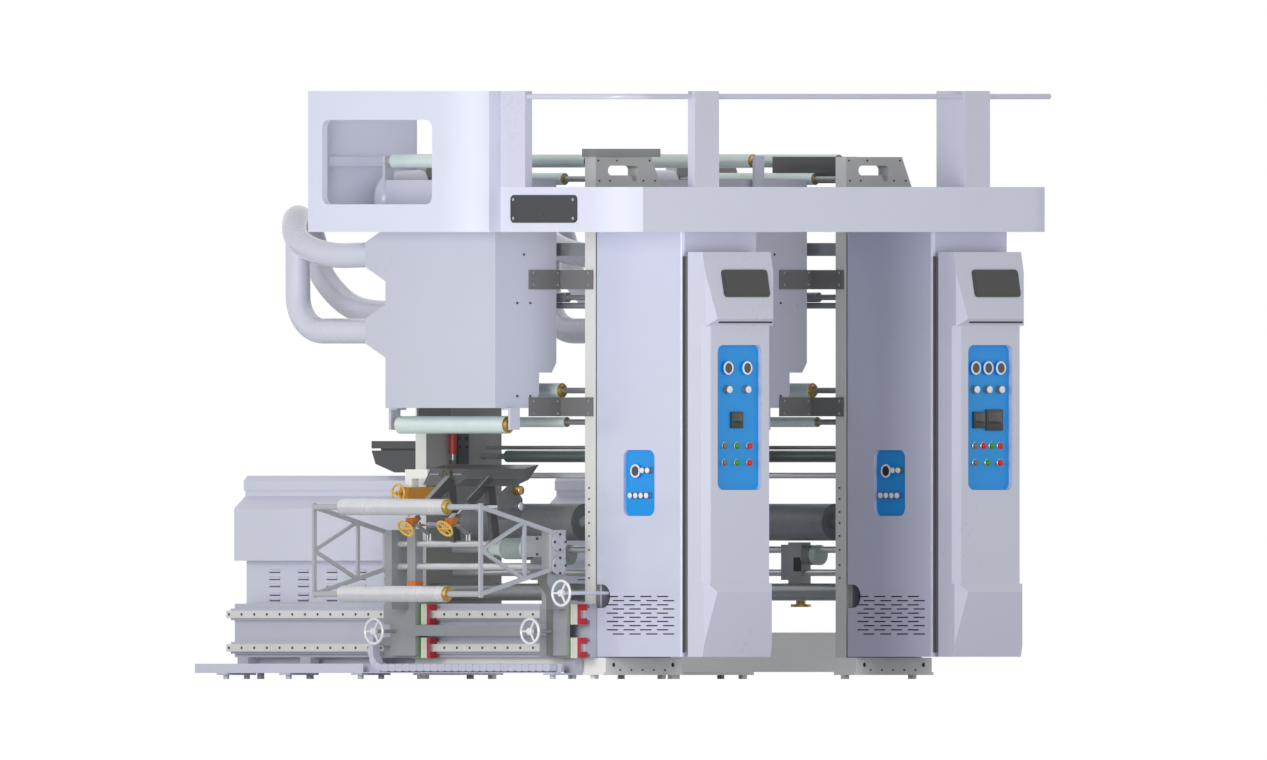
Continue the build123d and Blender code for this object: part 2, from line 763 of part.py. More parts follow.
def make_ducts(x0):
    """The looping air duct with its branch from the lower taper, and a short bend above them."""
    x = x0 - dryer_front + duct_r
    start = dryer_half + dryer_taper_out
    loop = [(x0 + px, py, pz) for px, py, pz in duct_loop]
    first = (x, start, duct_upper_z)
    last = (loop[-1][0], frame_inside + frame_thick, loop[-1][2])
    main = tube(Spline([first] + loop + [last], tangents=[(0, 1, 0), (0, -1, 0)]), duct_r)
    join = loop[1]
    branch = pipe([(x, start, duct_lower_z), (x, duct_reach, duct_lower_z),
                   (x + duct_lean, duct_reach + duct_lean, join[2] - duct_r / 3)], [duct_bend_r], duct_r)
    low, high = vent_pipe_z
    near, far = (x0 + vx for vx in vent_pipe_x)
    bend = pipe([(near, dryer_half, low), (near, vent_pipe_y, low), (near, vent_pipe_y, high),
                 (far, vent_pipe_y, high)], [vent_pipe_bend, vent_pipe_bend], duct_r)
    return group(main + branch, bend)


def make_drive_cabinet(x0, unit):
    """The stepped drive cabinet on the far side, with its sloping lid."""
    y_span = (drive_start, drive_ends[unit - 1])
    back = x0 + drive_body_x[1]
    front = x0 + drive_body_x[0]
    hood = x0 + drive_hood_x
    lid = hood + drive_slope
    outline = [(front, base_flange_top), (front, drive_body_z), (hood, drive_body_z), (hood, drive_hood_z),
               (lid, drive_lid_z), (lid, drive_band_z), (lid - drive_step, drive_band_z),
               (lid - drive_step, drive_slab_z), (lid + drive_top_cut, drive_top_z), (back, drive_top_z),
               (back, base_flange_top)]
    body = side_plate(outline, y_span)
    for y in (y_span[0] + drive_foot_inset, y_span[1] - drive_foot_inset):
        for x in (front + drive_foot_inset, back - drive_foot_inset):
            body = body + bar_z(x, y, drive_foot_r, (0, base_flange_top))
    columns = int((y_span[1] - louvre_first_y) / louvre_pitch) + 1
    for column in range(columns):
        y = louvre_first_y + column * louvre_pitch
        for z in louvre_z:
            body = body + bar_y(front, z, louvre_r, (y - louvre_length / 2, y + louvre_length / 2))
    link = block((x0 + drive_link_x[0], x0 + drive_link_x[1]), (frame_inside + frame_thick, drive_start),
                 drive_link_z)
    return body + link


# Rail beam and the carriage on it

def make_rail_beam():
    """The beam across the front of the first unit, on block feet."""
    beam = block((-beam_web, 0), (beam_near, beam_far), (beam_low_z, beam_high_z))
    for z in rail_z:
        beam = beam + block((-beam_flange, 0), (beam_near, beam_far), (z - rail_pad / 2, z + rail_pad / 2))
    for y in beam_foot_y:
        half = beam_foot_width / 2
        beam = beam + block(beam_foot_x, (y - half, y + half), (foot_height, beam_low_z))
        beam = beam + bar_z((beam_foot_x[0] + beam_foot_x[1]) / 2, y, foot_size / 2, (0, foot_height))
        arm_x = chain_x - chain_width / 2 - tray_gap - tray_wall
        arm_span = (arm_x, beam_foot_x[0] + foot_size)
        beam = beam + block(arm_span, (y - half, y + half), (tray_z[0] - tray_arm, tray_z[0]))
        beam = beam + bar_z(arm_x + foot_size, y, foot_size / 2, (0, tray_z[0] - tray_arm))
    return beam


def make_linear_rails():
    """Two profile rails on the beam's pads."""
    rails = []
    for z in rail_z:
        rail = block((-beam_flange - rail_height, -beam_flange), (beam_near, beam_far),
                     (z - rail_width / 2, z + rail_width / 2))
        rails.append(rail)
    return group(*rails)


def make_carriage():
    """Two saddles on guide blocks, their tie bar and the posts that carry the arms."""
    face = -beam_flange - block_height
    pieces = []
    for span in (saddle_far_y, saddle_near_y):
        saddle = block((face - saddle_thick, face), span, (saddle_low_z, saddle_high_z))
        for z in rail_z:
            half = block_width / 2
            middle = (span[0] + span[1]) / 2
            y_block = (span[0] - block_reach, span[1] + block_reach)
            guide = block((face, -beam_flange - slide_gap), y_block, (z - half, z + half))
            groove = block((-beam_flange - rail_height - slide_gap, -beam_flange + 1),
                           (y_block[0] - 1, y_block[1] + 1),
                           (z - rail_width / 2 - slide_gap, z + rail_width / 2 + slide_gap))
            saddle = saddle + (guide - groove)
        pieces.append(saddle)
    tie = block((face - saddle_thick, face), (saddle_near_y[1], saddle_far_y[0]), tie_bar_z)
    body = pieces[0] + tie + pieces[1]
    for side in (-1, 1):
        inner = arm_y - arm_thick / 2 - post_width
        span = sorted((side * inner, side * (arm_y - arm_thick / 2)))
        post = block((post_x[0], face - saddle_thick), span, (post_low_z, arm_root_z[1]))
        body = body + post
    for x, z, r in bridge_bars:
        body = body + bar_y(x, z, r, (-arm_y + arm_thick, arm_y - arm_thick))
    body = body + block(reducer_x, reducer_y, reducer_z)
    y = reducer_y[1]
    for radius, length in drive_motor_steps:
        body = body + bar_y((reducer_x[0] + reducer_x[1]) / 2, drive_motor_z, radius, (y, y + length))
        y = y + length
    body = body + block(slide_column_x, slide_column_y, slide_column_z)
    body = body + block(slide_column_x, slide_column_y, (slide_shoe_z, slide_column_z[0]))
    link = block((chain_x + chain_width / 2, face), (saddle_far_y[1] - chain_lug, chain_end_y + chain_height),
                 (chain_end_z - chain_lug, chain_end_z))
    body = body + link
    for y in lock_wheel_y:
        spindle = (lock_wheel_x - wheel_hub_length / 2, face - saddle_thick)
        body = body + bar_x(y, lock_wheel_z, spindle_r, spindle)
    return body


def make_arms():
    """The two braced arms that reach forward and carry the rollers' shafts."""
    arms = []
    for side in (-1, 1):
        span = (side * arm_y - arm_thick / 2, side * arm_y + arm_thick / 2)
        low, high = arm_tip_z
        root_low, root_high = arm_root_z
        share = (arm_brace_x - arm_tip_x) / (arm_root_x - arm_tip_x)
        brace_high = high + (root_high - high) * share
        brace_low = low + (root_low - low) * share
        middle = (low + high) / 2
        root_x = arm_root_x + arm_lap
        arm = strut((arm_tip_x, high), (root_x, root_high - arm_bar / 2), arm_bar, span)
        arm = arm + strut((arm_tip_x, low), (root_x, root_low + arm_bar / 2), arm_bar, span)
        arm = arm + strut((arm_tip_x, low - arm_over), (arm_tip_x, high + arm_over), arm_bar, span)
        arm = arm + strut((arm_brace_x, brace_low), (arm_brace_x, brace_high), brace_bar, span)
        arm = arm + strut((arm_tip_x, middle), (arm_brace_x, brace_high), brace_bar, span)
        arm = arm + strut((arm_tip_x, middle), (arm_brace_x, brace_low), brace_bar, span)
        arm = arm + block((arm_root_x, post_x[1] - arm_lap), span, arm_root_z)
        if side < 0:
            for z in flange_z:
                arm = arm + bar_y(arm_root_x + flange_in, z, flange_r, (span[0] - flange_thick, span[0]))
        arms.append(arm)
    shafts = []
    for z in arm_tip_z:
        shafts.append(bar_y(arm_tip_x, z, shaft_r, (-arm_y + arm_thick / 2, arm_y - arm_thick / 2)))
    return group(arms[0] + shafts[0] + shafts[1] + arms[1])


def along_screw(share):
    """A point in x and z on the line from the top of the blade arm to the screw's end."""
    return tuple(low + (high - low) * share for low, high in zip(blade_screw_top, blade_screw_end))


def screw_tilt():
    """The slant of that line, in degrees."""
    return degrees(atan2(blade_screw_end[1] - blade_screw_top[1], blade_screw_end[0] - blade_screw_top[0]))


def make_doctor_blade():
    """The blade beam with its two slanting arms and the plates that hold them on the bridge."""
    beam = side_plate(blade_outline, (-blade_half, blade_half)) + side_plate(blade_lip, blade_lip_y)
    end_y = (-blade_half - blade_end_thick, -blade_half)
    beam = beam + side_plate(blade_end, end_y)
    for x, z, r in (blade_pin, blade_knob):
        beam = beam + bar_y(x, z, r, (end_y[0] - blade_knob_reach, end_y[0]))
    for side in (-1, 1):
        y = side * blade_arm_y
        span = (y - blade_arm_thick / 2, y + blade_arm_thick / 2)
        beam = beam + strut(blade_screw_top, along_screw(blade_arm_share), blade_arm_width, span)
        foot_x, foot_z, foot_r = bridge_bars[0]
        beam = beam + strut((foot_x, foot_z + foot_r - 4), blade_screw_top, blade_arm_width, span)
    for x, z, r in bridge_bars:
        beam = beam - bar_y(x, z, r, (-blade_half - blade_knob_reach * 2, blade_half))
    return beam


def make_blade_screws():
    """The two adjusting screws with their collars, on the lower ends of the arms."""
    start = along_screw(blade_arm_share)
    run = hypot(blade_screw_end[0] - start[0], blade_screw_end[1] - start[1])
    x = (start[0] + blade_screw_end[0]) / 2
    z = (start[1] + blade_screw_end[1]) / 2
    screws = []
    for side in (-1, 1):
        at = Pos(x, side * blade_arm_y, z) * Rot(0, -screw_tilt(), 0)
        screw = at * Rot(0, 90, 0) * Cylinder(blade_screw_r, run)
        collar = at * Pos(run / 2 - blade_collar_back, 0, 0)
        collar = collar * Box(blade_collar, blade_collar_side, blade_collar_side)
        screws.append(screw + collar)
    return group(*screws)


def make_blade_wheel(side):
    """A small handwheel square to its slanting screw."""
    x, z = along_screw(blade_wheel_share)
    wheel = handwheel(small_wheel_r, small_rim_r, small_hub_r, small_hub_length, small_spoke_r,
                      blade_screw_r + running_gap)
    return Pos(x, side * blade_arm_y, z) * Rot(0, -screw_tilt(), 0) * Rot(0, 90, 0) * wheel


def make_end_gearbox():
    """The gearbox at the far end of the blade beam, its neck and its wheel spindle."""
    box = block(gearbox_x, gearbox_y, gearbox_z)
    box = fillet(box.edges().filter_by(Axis.X), gearbox_round)
    middle_y = (gearbox_y[0] + gearbox_y[1]) / 2
    middle_z = (gearbox_z[0] + gearbox_z[1]) / 2
    neck = block(gearbox_neck_x, (blade_half, gearbox_y[1] - gearbox_round), gearbox_neck_z)
    riser = block(gearbox_neck_x, (gearbox_y[0] + gearbox_round, gearbox_y[1] - gearbox_round),
                  (middle_z, gearbox_neck_z[1]))
    reach = gearbox_wheel_x - small_hub_length
    return box + neck + riser + bar_x(middle_y, middle_z, blade_screw_r, (reach, gearbox_x[0]))


def make_end_wheel():
    """The small handwheel on the gearbox spindle."""
    wheel = handwheel(small_wheel_r, small_rim_r, small_hub_r, small_hub_length, small_spoke_r,
                      blade_screw_r + running_gap)
    middle_y = (gearbox_y[0] + gearbox_y[1]) / 2
    middle_z = (gearbox_z[0] + gearbox_z[1]) / 2
    return Pos(gearbox_wheel_x, middle_y, middle_z) * Rot(0, 90, 0) * wheel


def make_energy_chain():
    """The cable carrier, link by link: it lies in the tray, bends and rises to the carriage."""
    middle_y = chain_end_y + chain_height / 2
    middle_z = chain_low_z + chain_height / 2
    path = FilletPolyline((chain_x, chain_near_y, middle_z), (chain_x, middle_y, middle_z),
                          (chain_x, middle_y, chain_end_z), radius=chain_bend_r)
    core = sweep(Plane(origin=path @ 0, x_dir=(1, 0, 0), z_dir=path % 0)
                 * Rectangle(chain_width - chain_core, chain_height - chain_core), path=path)
    links = int(path.length / chain_pitch)
    margin = chain_link / 2 / path.length
    for number in range(links):
        along = margin + (1 - 2 * margin) * number / (links - 1)
        point = path @ along
        heading = path % along
        tilt = degrees(atan2(heading.Z, heading.Y))
        link = Box(chain_width, chain_link, chain_height)
        link = fillet(link.edges().filter_by(Axis.X), chain_height / 4)
        core = core + Pos(point.X, point.Y, point.Z) * Rot(tilt, 0, 0) * link
    return core


def make_cable_tray():
    """The open tray that the cable carrier lies in, with no front wall along its near part."""
    half = chain_width / 2 + tray_gap + tray_wall
    outer = block((chain_x - half, chain_x + half), tray_y, tray_z)
    inner = block((chain_x - half + tray_wall, chain_x + half - tray_wall), (tray_y[0] - 1, tray_y[1] + 1),
                  (tray_z[0] + tray_wall, tray_z[1] + 1))
    front = block((chain_x - half - 1, chain_x), (tray_y[0] - 1, tray_lip_y), (tray_z[0] + tray_wall, tray_z[1] + 1))
    return outer - inner - front


def port_wheel_shaft(x0):
    """The fixed spindle that carries the handwheel at the cabinet's port."""
    run = (port_wheel_x - wheel_hub_length / 2, x0 + wheel_port_run)
    return bar_x(port_wheel_y, port_wheel_z, spindle_r, run)


def white_wheel(x, y, z):
    """A white handwheel turning on a spindle along x."""
    wheel = handwheel(wheel_r, wheel_rim_r, wheel_hub_r, wheel_hub_length, wheel_spoke_r,
                      spindle_r + running_gap)
    return Pos(x, y, z) * Rot(0, 90, 0) * wheel


# Overhead pieces

def canopy_path(offset):
    """Plan outline of the canopy's fascia, moved inwards by an offset."""
    first = (canopy_front_x + offset, box_turn_y)
    second = (canopy_front_x + offset, canopy_corner_y)
    corner = (canopy_corner_x + offset, canopy_front_y + offset)
    end = (canopy_end_x - canopy_end_r, canopy_front_y + offset)
    tip = (canopy_end_x - offset, canopy_front_y + canopy_end_r)
    return first, second, corner, end, tip


def canopy_face(offset):
    """The canopy's plan as a face from its fascia back to the cabinets' inner side."""
    first, second, corner, end, tip = canopy_path(offset)
    inner_y = -frame_inside - frame_thick - cabinet_spacer
    edges = [Line(first, second), leaving_down(second, corner), Line(corner, end), quarter(end, tip),
             Line(tip, (tip[0], inner_y)), Line((tip[0], inner_y), (first[0], inner_y)),
             Line((first[0], inner_y), first)]
    return make_face(Curve() + edges)


def leaving_down(start, end):
    """An arc that leaves start heading to -y and ends on end."""
    return TangentArc(start, end, tangent=(0, -1))


def quarter(start, end):
    """The rounded downstream corner."""
    return TangentArc(start, end, tangent=(1, 0))


def make_canopy():
    """The fascia and deck round the operator's side, as a shallow tray."""
    outer = canopy_face(0)
    inner = canopy_face(canopy_wall)
    height = canopy_high_z - canopy_low_z
    shell = (extrude(outer, amount=height, dir=(0, 0, 1))
             - Pos(0, 0, canopy_deck) * extrude(inner, amount=height, dir=(0, 0, 1)))
    return Pos(0, 0, canopy_low_z) * shell


def make_window_box():
    """The tall screen in front of the first dryer, with its rounded window."""
    outer = [Line((box_front_x, box_far_y), (box_front_x, box_near_y)),
             TangentArc((box_front_x, box_near_y), (box_turn_x, box_turn_y), tangent=(0, -1)),
             Line((box_turn_x, box_turn_y), (canopy_front_x, box_turn_y)),
             Line((canopy_front_x, box_turn_y), (canopy_front_x, box_turn_y + box_wall)),
             Line((canopy_front_x, box_turn_y + box_wall), (box_turn_x + box_wall, box_turn_y + box_wall)),
             TangentArc((box_front_x + box_wall, box_near_y), (box_turn_x + box_wall, box_turn_y + box_wall),
                        tangent=(0, -1)),
             Line((box_front_x + box_wall, box_near_y), (box_front_x + box_wall, box_far_y - box_wall)),
             Line((box_front_x + box_wall, box_far_y - box_wall), (box_back_x, box_far_y - box_wall)),
             Line((box_back_x, box_far_y - box_wall), (box_back_x, box_far_y)),
             Line((box_back_x, box_far_y), (box_front_x, box_far_y))]
    wall = extrude(make_face(Curve() + outer), amount=box_top_z - canopy_low_z, dir=(0, 0, 1))
    wall = Pos(0, 0, canopy_low_z) * wall
    window = rounded_x(window_y, window_z, window_round, (box_front_x - 1, box_front_x + box_wall + 1))
    inner_y = box_far_y - box_wall
    ledge = block((box_front_x + box_wall, box_back_x), (inner_y - box_ledge_deep, inner_y), box_ledge_z)
    return wall - window + ledge


def make_guard_rail():
    """Three upright posts on the fascia and the round handrail between them."""
    posts = [block((canopy_front_x, canopy_front_x + post_depth), post_1_y, (canopy_high_z, box_top_z))]
    for span in (post_2_x, post_3_x):
        posts.append(block(span, (canopy_front_y, canopy_front_y + post_depth), (canopy_high_z, box_top_z)))
    posts[-1] = posts[-1] + block((post_3_x[0], post_3_x[0] + post_3_thick),
                                  (canopy_front_y, canopy_front_y + post_3_return), (canopy_high_z, box_top_z))
    rail_y = canopy_front_y + post_depth / 2
    rail_x = canopy_front_x + post_depth / 2
    rails = [pipe([(rail_x, post_1_y[0], rail_centre_z), (rail_x, rail_y, rail_centre_z),
                   (post_2_x[0], rail_y, rail_centre_z)], [rail_bend_r], rail_r),
             bar_x(rail_y, rail_centre_z, rail_r, (post_2_x[1], post_3_x[0])),
             bar_x(rail_y, rail_centre_z, rail_r, (post_3_x[1], canopy_end_x - canopy_end_r))]
    return group(*posts, *rails)


# Assembly

def make_unit(unit):
    """All the nodes of one printing unit, by name."""
    x0 = (unit - 1) * unit_pitch
    name = f"unit_{unit}_"
    nodes = {
        "base": make_base(x0),
        "operator_frame": make_side_frame(x0, -1),
        "drive_frame": make_side_frame(x0, 1),
        "cross_members": make_cross_members(x0),
        "operator_cabinet": make_operator_cabinet(x0),
        "console": make_console(x0),
        "controls": make_controls(x0, unit),
        "dryer": make_dryer(x0),
        "ducts": make_ducts(x0),
        "drive_cabinet": make_drive_cabinet(x0, unit),
        "lift_gear": make_lift_gear(x0),
        "gear_case": make_gear_case(x0),
    }
    web = (-web_half, web_half)
    for piece, place in (("dryer_roller", dryer_roller), ("top_roller", top_roller),
                         ("infeed_roller", infeed_roller), ("transfer_roller", transfer_roller)):
        nodes[piece] = roller(x0 + place[0], place[1], place[2], web, shaft_r + running_gap)
    journals = (-frame_inside - frame_thick / 2, frame_inside + frame_thick / 2)
    nodes["impression_cylinder"] = (bar_y(x0 + cylinder_x, cylinder_z, cylinder_r, web)
                                    + bar_y(x0 + cylinder_x, cylinder_z, journal_r, journals))
    return {name + key: solid for key, solid in nodes.items()}


def make_press():
    """Every node of the press."""
    nodes = {}
    for unit in range(1, units + 1):
        nodes.update(make_unit(unit))
    nodes["dryer_brackets"] = group(*make_brackets(0), *make_brackets(unit_pitch))
    nodes["rail_beam"] = make_rail_beam()
    nodes["linear_rails"] = make_linear_rails()
    nodes["cable_tray"] = make_cable_tray()
    nodes["canopy"] = make_canopy()
    nodes["window_box"] = make_window_box()
    nodes["guard_rail"] = make_guard_rail()
    nodes["carriage"] = make_carriage()
    nodes["carriage_arms"] = make_arms()
    for place, z in zip(("lower", "upper"), arm_tip_z):
        nodes[place + "_web_roller"] = roller(arm_tip_x, z, carriage_roller_r, carriage_roller_y,
                                              shaft_r + running_gap)
    for place, y in zip(("near", "far"), lock_wheel_y):
        nodes[place + "_lock_wheel"] = white_wheel(lock_wheel_x, y, lock_wheel_z)
    nodes["energy_chain"] = make_energy_chain()
    nodes["doctor_blade"] = make_doctor_blade()
    nodes["blade_screws"] = make_blade_screws()
    for place, side in (("near", -1), ("far", 1)):
        nodes[place + "_blade_wheel"] = make_blade_wheel(side)
    nodes["end_gearbox"] = make_end_gearbox()
    nodes["end_wheel"] = make_end_wheel()
    nodes["port_wheel"] = white_wheel(port_wheel_x, port_wheel_y, port_wheel_z)
    return nodes


def save(nodes):
    """Move the press onto its origin and write one file for each node."""
    os.makedirs("parts", exist_ok=True)
    boxes = [solid.bounding_box() for solid in nodes.values()]
    low = [min(getattr(box.min, axis) for box in boxes) for axis in "XYZ"]
    high = [max(getattr(box.max, axis) for box in boxes) for axis in "XYZ"]
    shift = (-(low[0] + high[0]) / 2, -(low[1] + high[1]) / 2, -low[2])
    for name, solid in nodes.items():
        export_step(Pos(*shift) * solid, f"parts/{name}.step")
    print("nodes", len(nodes), "shift", [round(value, 3) for value in shift])
    print("size", [round(b - a, 1) for a, b in zip(low, high)])


save(make_press())
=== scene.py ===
# %% [markdown]
# # A two-unit web printing press
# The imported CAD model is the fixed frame: its pieces keep their place and shape. This lesson gives
# each of them a finish, and adds the small things that a viewer looks for, such as dials and bolts.

# %% Load the frame
from math import cos, pi, radians, sin, tau

import bmesh
import bpy
from mathutils import Matrix, Vector


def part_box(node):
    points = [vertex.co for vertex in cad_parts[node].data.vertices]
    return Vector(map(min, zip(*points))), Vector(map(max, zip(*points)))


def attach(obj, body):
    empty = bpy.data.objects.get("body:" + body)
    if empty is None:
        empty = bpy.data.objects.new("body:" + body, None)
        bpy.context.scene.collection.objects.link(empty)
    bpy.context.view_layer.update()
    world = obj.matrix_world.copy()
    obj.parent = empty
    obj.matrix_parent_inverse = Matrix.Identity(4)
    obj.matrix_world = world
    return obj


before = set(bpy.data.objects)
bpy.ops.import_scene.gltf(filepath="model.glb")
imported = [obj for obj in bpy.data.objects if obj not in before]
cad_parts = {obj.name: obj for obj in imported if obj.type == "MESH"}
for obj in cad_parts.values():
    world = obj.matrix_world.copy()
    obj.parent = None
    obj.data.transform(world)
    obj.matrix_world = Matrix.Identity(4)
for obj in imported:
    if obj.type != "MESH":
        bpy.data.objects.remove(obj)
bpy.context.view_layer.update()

# %% [markdown]
# The press was laid out in millimetres from the upstream edge of the first unit's side frames, with
# y = 0 in the middle of the web. The lesson keeps those numbers, because they are easy to read, and
# one function turns them into metres in the frame. The origin and the distance between the units could
# be typed in too, but measured on the CAD pieces they always agree with the model.

# %% Layout coordinates
MM = 0.001
far_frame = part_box("unit_1_drive_frame")
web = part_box("unit_1_dryer_roller")
home = Vector((far_frame[0].x, (web[0].y + web[1].y) / 2, 0))
pitch = (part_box("unit_2_drive_frame")[0].x - far_frame[0].x) * 1000
UNITS = ((1, 0.0), (2, pitch))
SIDES = (-1, 1)


def at(x, y, z):
    """A point of the layout, in metres in the frame."""
    return home + Vector((x, y, z)) * MM


def in_units(points):
    """The same points in both units."""
    return [(x0 + x, y, z) for unit, x0 in UNITS for x, y, z in points]


print("home", [round(value, 4) for value in home], "pitch", round(pitch, 1))

# %% [markdown]
# A finish is built from nodes. They could be wired by hand in the shader editor, but node maths is
# hard to read as boxes and wires. `Value` wraps one output socket, and its operators add Math nodes,
# so `1 - mask * 0.5` can be written as it stands, also where the plain number comes first.

# %% Values that do arithmetic
class Value:
    """An output socket that can be used in arithmetic."""

    def __init__(self, nodes, socket):
        self.nodes = nodes
        self.socket = socket

    def _math(self, operation, first, second):
        return self.nodes.node("ShaderNodeMath", {"operation": operation}, {0: first, 1: second})

    def __add__(self, other):
        return self._math("ADD", self, other)

    def __radd__(self, other):
        return self._math("ADD", other, self)

    def __sub__(self, other):
        return self._math("SUBTRACT", self, other)

    def __rsub__(self, other):
        return self._math("SUBTRACT", other, self)

    def __mul__(self, other):
        return self._math("MULTIPLY", self, other)

    def __rmul__(self, other):
        return self._math("MULTIPLY", other, self)

    def __lt__(self, other):
        return self._math("LESS_THAN", self, other)


# %% [markdown]
# `Nodes` wraps a node tree. Its `node` method adds any node: the settings go in first, because they
# can change which sockets there are, and then the values or links of the sockets. Materials and the
# world both need it, so it is a class of its own.

# %% Node trees
class Nodes:
    """A node tree that nodes can be added to."""

    def __init__(self, tree):
        self.tree = tree

    def feed(self, socket, value):
        if isinstance(value, Value):
            self.tree.links.new(value.socket, socket)
        else:
            socket.default_value = value

    def node(self, kind, settings, sockets, output=0):
        made = self.tree.nodes.new(kind)
        for key, value in settings.items():
            setattr(made, key, value)
        for key, value in sockets.items():
            self.feed(made.inputs[key], value)
        return Value(self, made.outputs[output])

    def mix(self, factor, low, high):
        """A colour between two others. A Mix node has its colour sockets at 6 and 7, and 2 comes out."""
        return self.node("ShaderNodeMix", {"data_type": "RGBA"}, {0: factor, 6: low, 7: high}, 2)


# %% [markdown]
# A `Finish` is one material with one Principled shader, which can be paint, steel or rubber by its
# numbers alone. Noise is placed by Object coordinates, in metres on the piece itself, so that no mesh
# has to be unwrapped. Colours are typed as they look on a screen, and `rgb` makes them linear.

# %% Finishes
class Finish(Nodes):
    """A material with one Principled shader."""

    def __init__(self, name):
        self.material = bpy.data.materials.new(name)
        self.material.use_nodes = True
        super().__init__(self.material.node_tree)
        self.shader = self.tree.nodes["Principled BSDF"]
        self.place = self.node("ShaderNodeTexCoord", {}, {}, "Object")

    def noise(self, scale, detail=3.0, stretch=(1, 1, 1)):
        """Grey noise, so many features a metre, squeezed along the axes."""
        space = self.node("ShaderNodeMapping", {}, {"Vector": self.place, "Scale": stretch})
        sockets = {"Vector": space, "Scale": scale, "Detail": detail}
        return self.node("ShaderNodeTexNoise", {}, sockets, "Fac")

    def bump(self, height, strength, distance):
        """A bump on the shader's normal."""
        sockets = {"Height": height, "Strength": strength, "Distance": distance}
        self.set(normal=self.node("ShaderNodeBump", {}, sockets, "Normal"))

    def set(self, **values):
        """Sets or links sockets of the shader, by their names in lower case."""
        for key, value in values.items():
            self.feed(self.shader.inputs[key.replace("_", " ").title()], value)


def rgb(red, green, blue):
    """A colour as seen on a screen, from 0 to 255, in the linear values that the shader uses."""
    linear = [((v / 255 + 0.055) / 1.055) ** 2.4 if v > 10 else v / 255 / 12.92 for v in (red, green, blue)]
    return (*linear, 1.0)


def shaded(colour, factor, lift=0.0):
    """A colour made darker or lighter by a factor."""
    return (*(min(value * factor + lift, 1.0) for value in colour[:3]), 1.0)


print("white 255 is", rgb(255, 255, 255)[0], "and grey 128 is", round(rgb(128, 128, 128)[0], 3))

# %% [markdown]
# Most of the press is sprayed sheet metal and castings. Real spray paint is never quite even: it has a
# faint orange-peel skin, slow drifts of tone over a panel, and a film of dust that dulls it in patches.
# Those could be painted into images, but noise needs none: a wide cloud for the drift, fine specks for
# the dust, and very fine noise as a bump. The side frames also get painted light: `edge` gives a paler
# colour to the faces that look upstream, where the lamp falls, and the rest of the frame stays darker.

# %% Sprayed paint
COAT_ROUGHNESS = 0.12
LOOKS_UPSTREAM = -0.9


def paint(name, colour, roughness=0.32, coat=0.25, drift=0.05, peel=0.05, dust=0.1, edge=None):
    finish = Finish(name)
    cloud = finish.noise(1.3, 4.0)
    speck = finish.noise(26.0, 5.0)

    def drifting(shade):
        return finish.mix(cloud, shaded(shade, 1 - drift), shaded(shade, 1 + drift * 0.6))

    # With an edge colour this is painted light: faces that look upstream get the paler colour, as if lit.
    if edge is None:
        finish.set(base_color=drifting(colour))
    else:
        normal = finish.node("ShaderNodeTexCoord", {}, {}, "Normal")
        along = finish.node("ShaderNodeSeparateXYZ", {}, {"Vector": normal}, "X")
        finish.set(base_color=finish.mix(along < LOOKS_UPSTREAM, drifting(colour), drifting(edge)))
    finish.set(roughness=roughness + dust * (speck - 0.5) + dust * (cloud - 0.5),
               coat_weight=coat, coat_roughness=COAT_ROUGHNESS)
    finish.bump(finish.noise(420.0, 2.0), peel, 0.0004)
    return finish


lavender = paint("housing_lavender", rgb(210, 212, 229), 0.3, 0.35)
hood_lavender = paint("hood_lavender", rgb(199, 202, 216), 0.3, 0.3)
canopy_lavender = paint("canopy_lavender", rgb(221, 224, 241), 0.55, 0.04)
cabinet_lavender = paint("cabinet_lavender", rgb(208, 211, 231), 0.22, 0.6)
# The edge colours of both frames are painted light on their upstream faces. The far frame's dark grey is
# painted shade, for its inner faces.
frame_grey = paint("frame_warm_grey", rgb(196, 196, 192), 0.42, 0.1, 0.06, 0.12, edge=rgb(226, 226, 221))
# The base's near-white is partly its pale paint and partly painted light, which lifts it out of the shade
# under the consoles.
base_grey = paint("base_pale_grey", rgb(250, 250, 246), 0.4, 0.15, 0.04, 0.12)
far_grey = paint("far_frame_grey", rgb(146, 146, 144), 0.45, 0.08, 0.06, 0.12, edge=rgb(232, 232, 228))
beam_grey = paint("beam_lavender_grey", rgb(196, 199, 212), 0.35, 0.2)
drive_lavender = paint("drive_lavender", rgb(215, 218, 233), 0.35, 0.2)
carriage_grey = paint("carriage_grey", rgb(156, 160, 164), 0.42, 0.12, 0.08)
arm_grey = paint("arm_grey", rgb(178, 182, 188), 0.4, 0.15, 0.08)
bracket_grey = paint("bracket_grey", rgb(118, 118, 118), 0.45, 0.05, 0.1)
white_paint = paint("wheel_white", rgb(240, 240, 244), 0.2, 0.5)
yellow_paint = paint("wheel_yellow", rgb(236, 188, 58), 0.3, 0.4, 0.12)
amber_paint = paint("gearbox_amber", rgb(222, 156, 34), 0.36, 0.2, 0.12)
olive_paint = paint("olive_disc", rgb(84, 86, 70), 0.4, 0.2, 0.15)
orange_paint = paint("orange_block", rgb(222, 122, 40), 0.32, 0.3, 0.1)
panel_blue = paint("panel_blue", rgb(4, 152, 234), 0.34, 0.15, 0.04)
chain_grey = paint("chain_lavender", rgb(206, 208, 226), 0.4, 0.1)
motor_green = paint("motor_grey_green", rgb(190, 203, 201), 0.4, 0.2)
plate_grey = paint("plate_grey", rgb(150, 152, 150), 0.42, 0.1)
dark_paint = paint("dark_paint", rgb(72, 73, 75), 0.4, 0.2, 0.12)
duct_metal = paint("duct_metal", rgb(212, 214, 228), 0.26, 0.5, 0.04, 0.02)
air_red = paint("cylinder_red", rgb(168, 46, 40), 0.5, 0.05)
print("materials so far", len(bpy.data.materials))

# %% [markdown]
# The web runs over rollers of ground steel with a faint green cast, past bars and shafts of brighter
# or darker steel. Grinding leaves fine rings round a roller. A wave texture would make them too even,
# so the noise is squeezed hard along the roller's length (y), and it hardly varies round it.

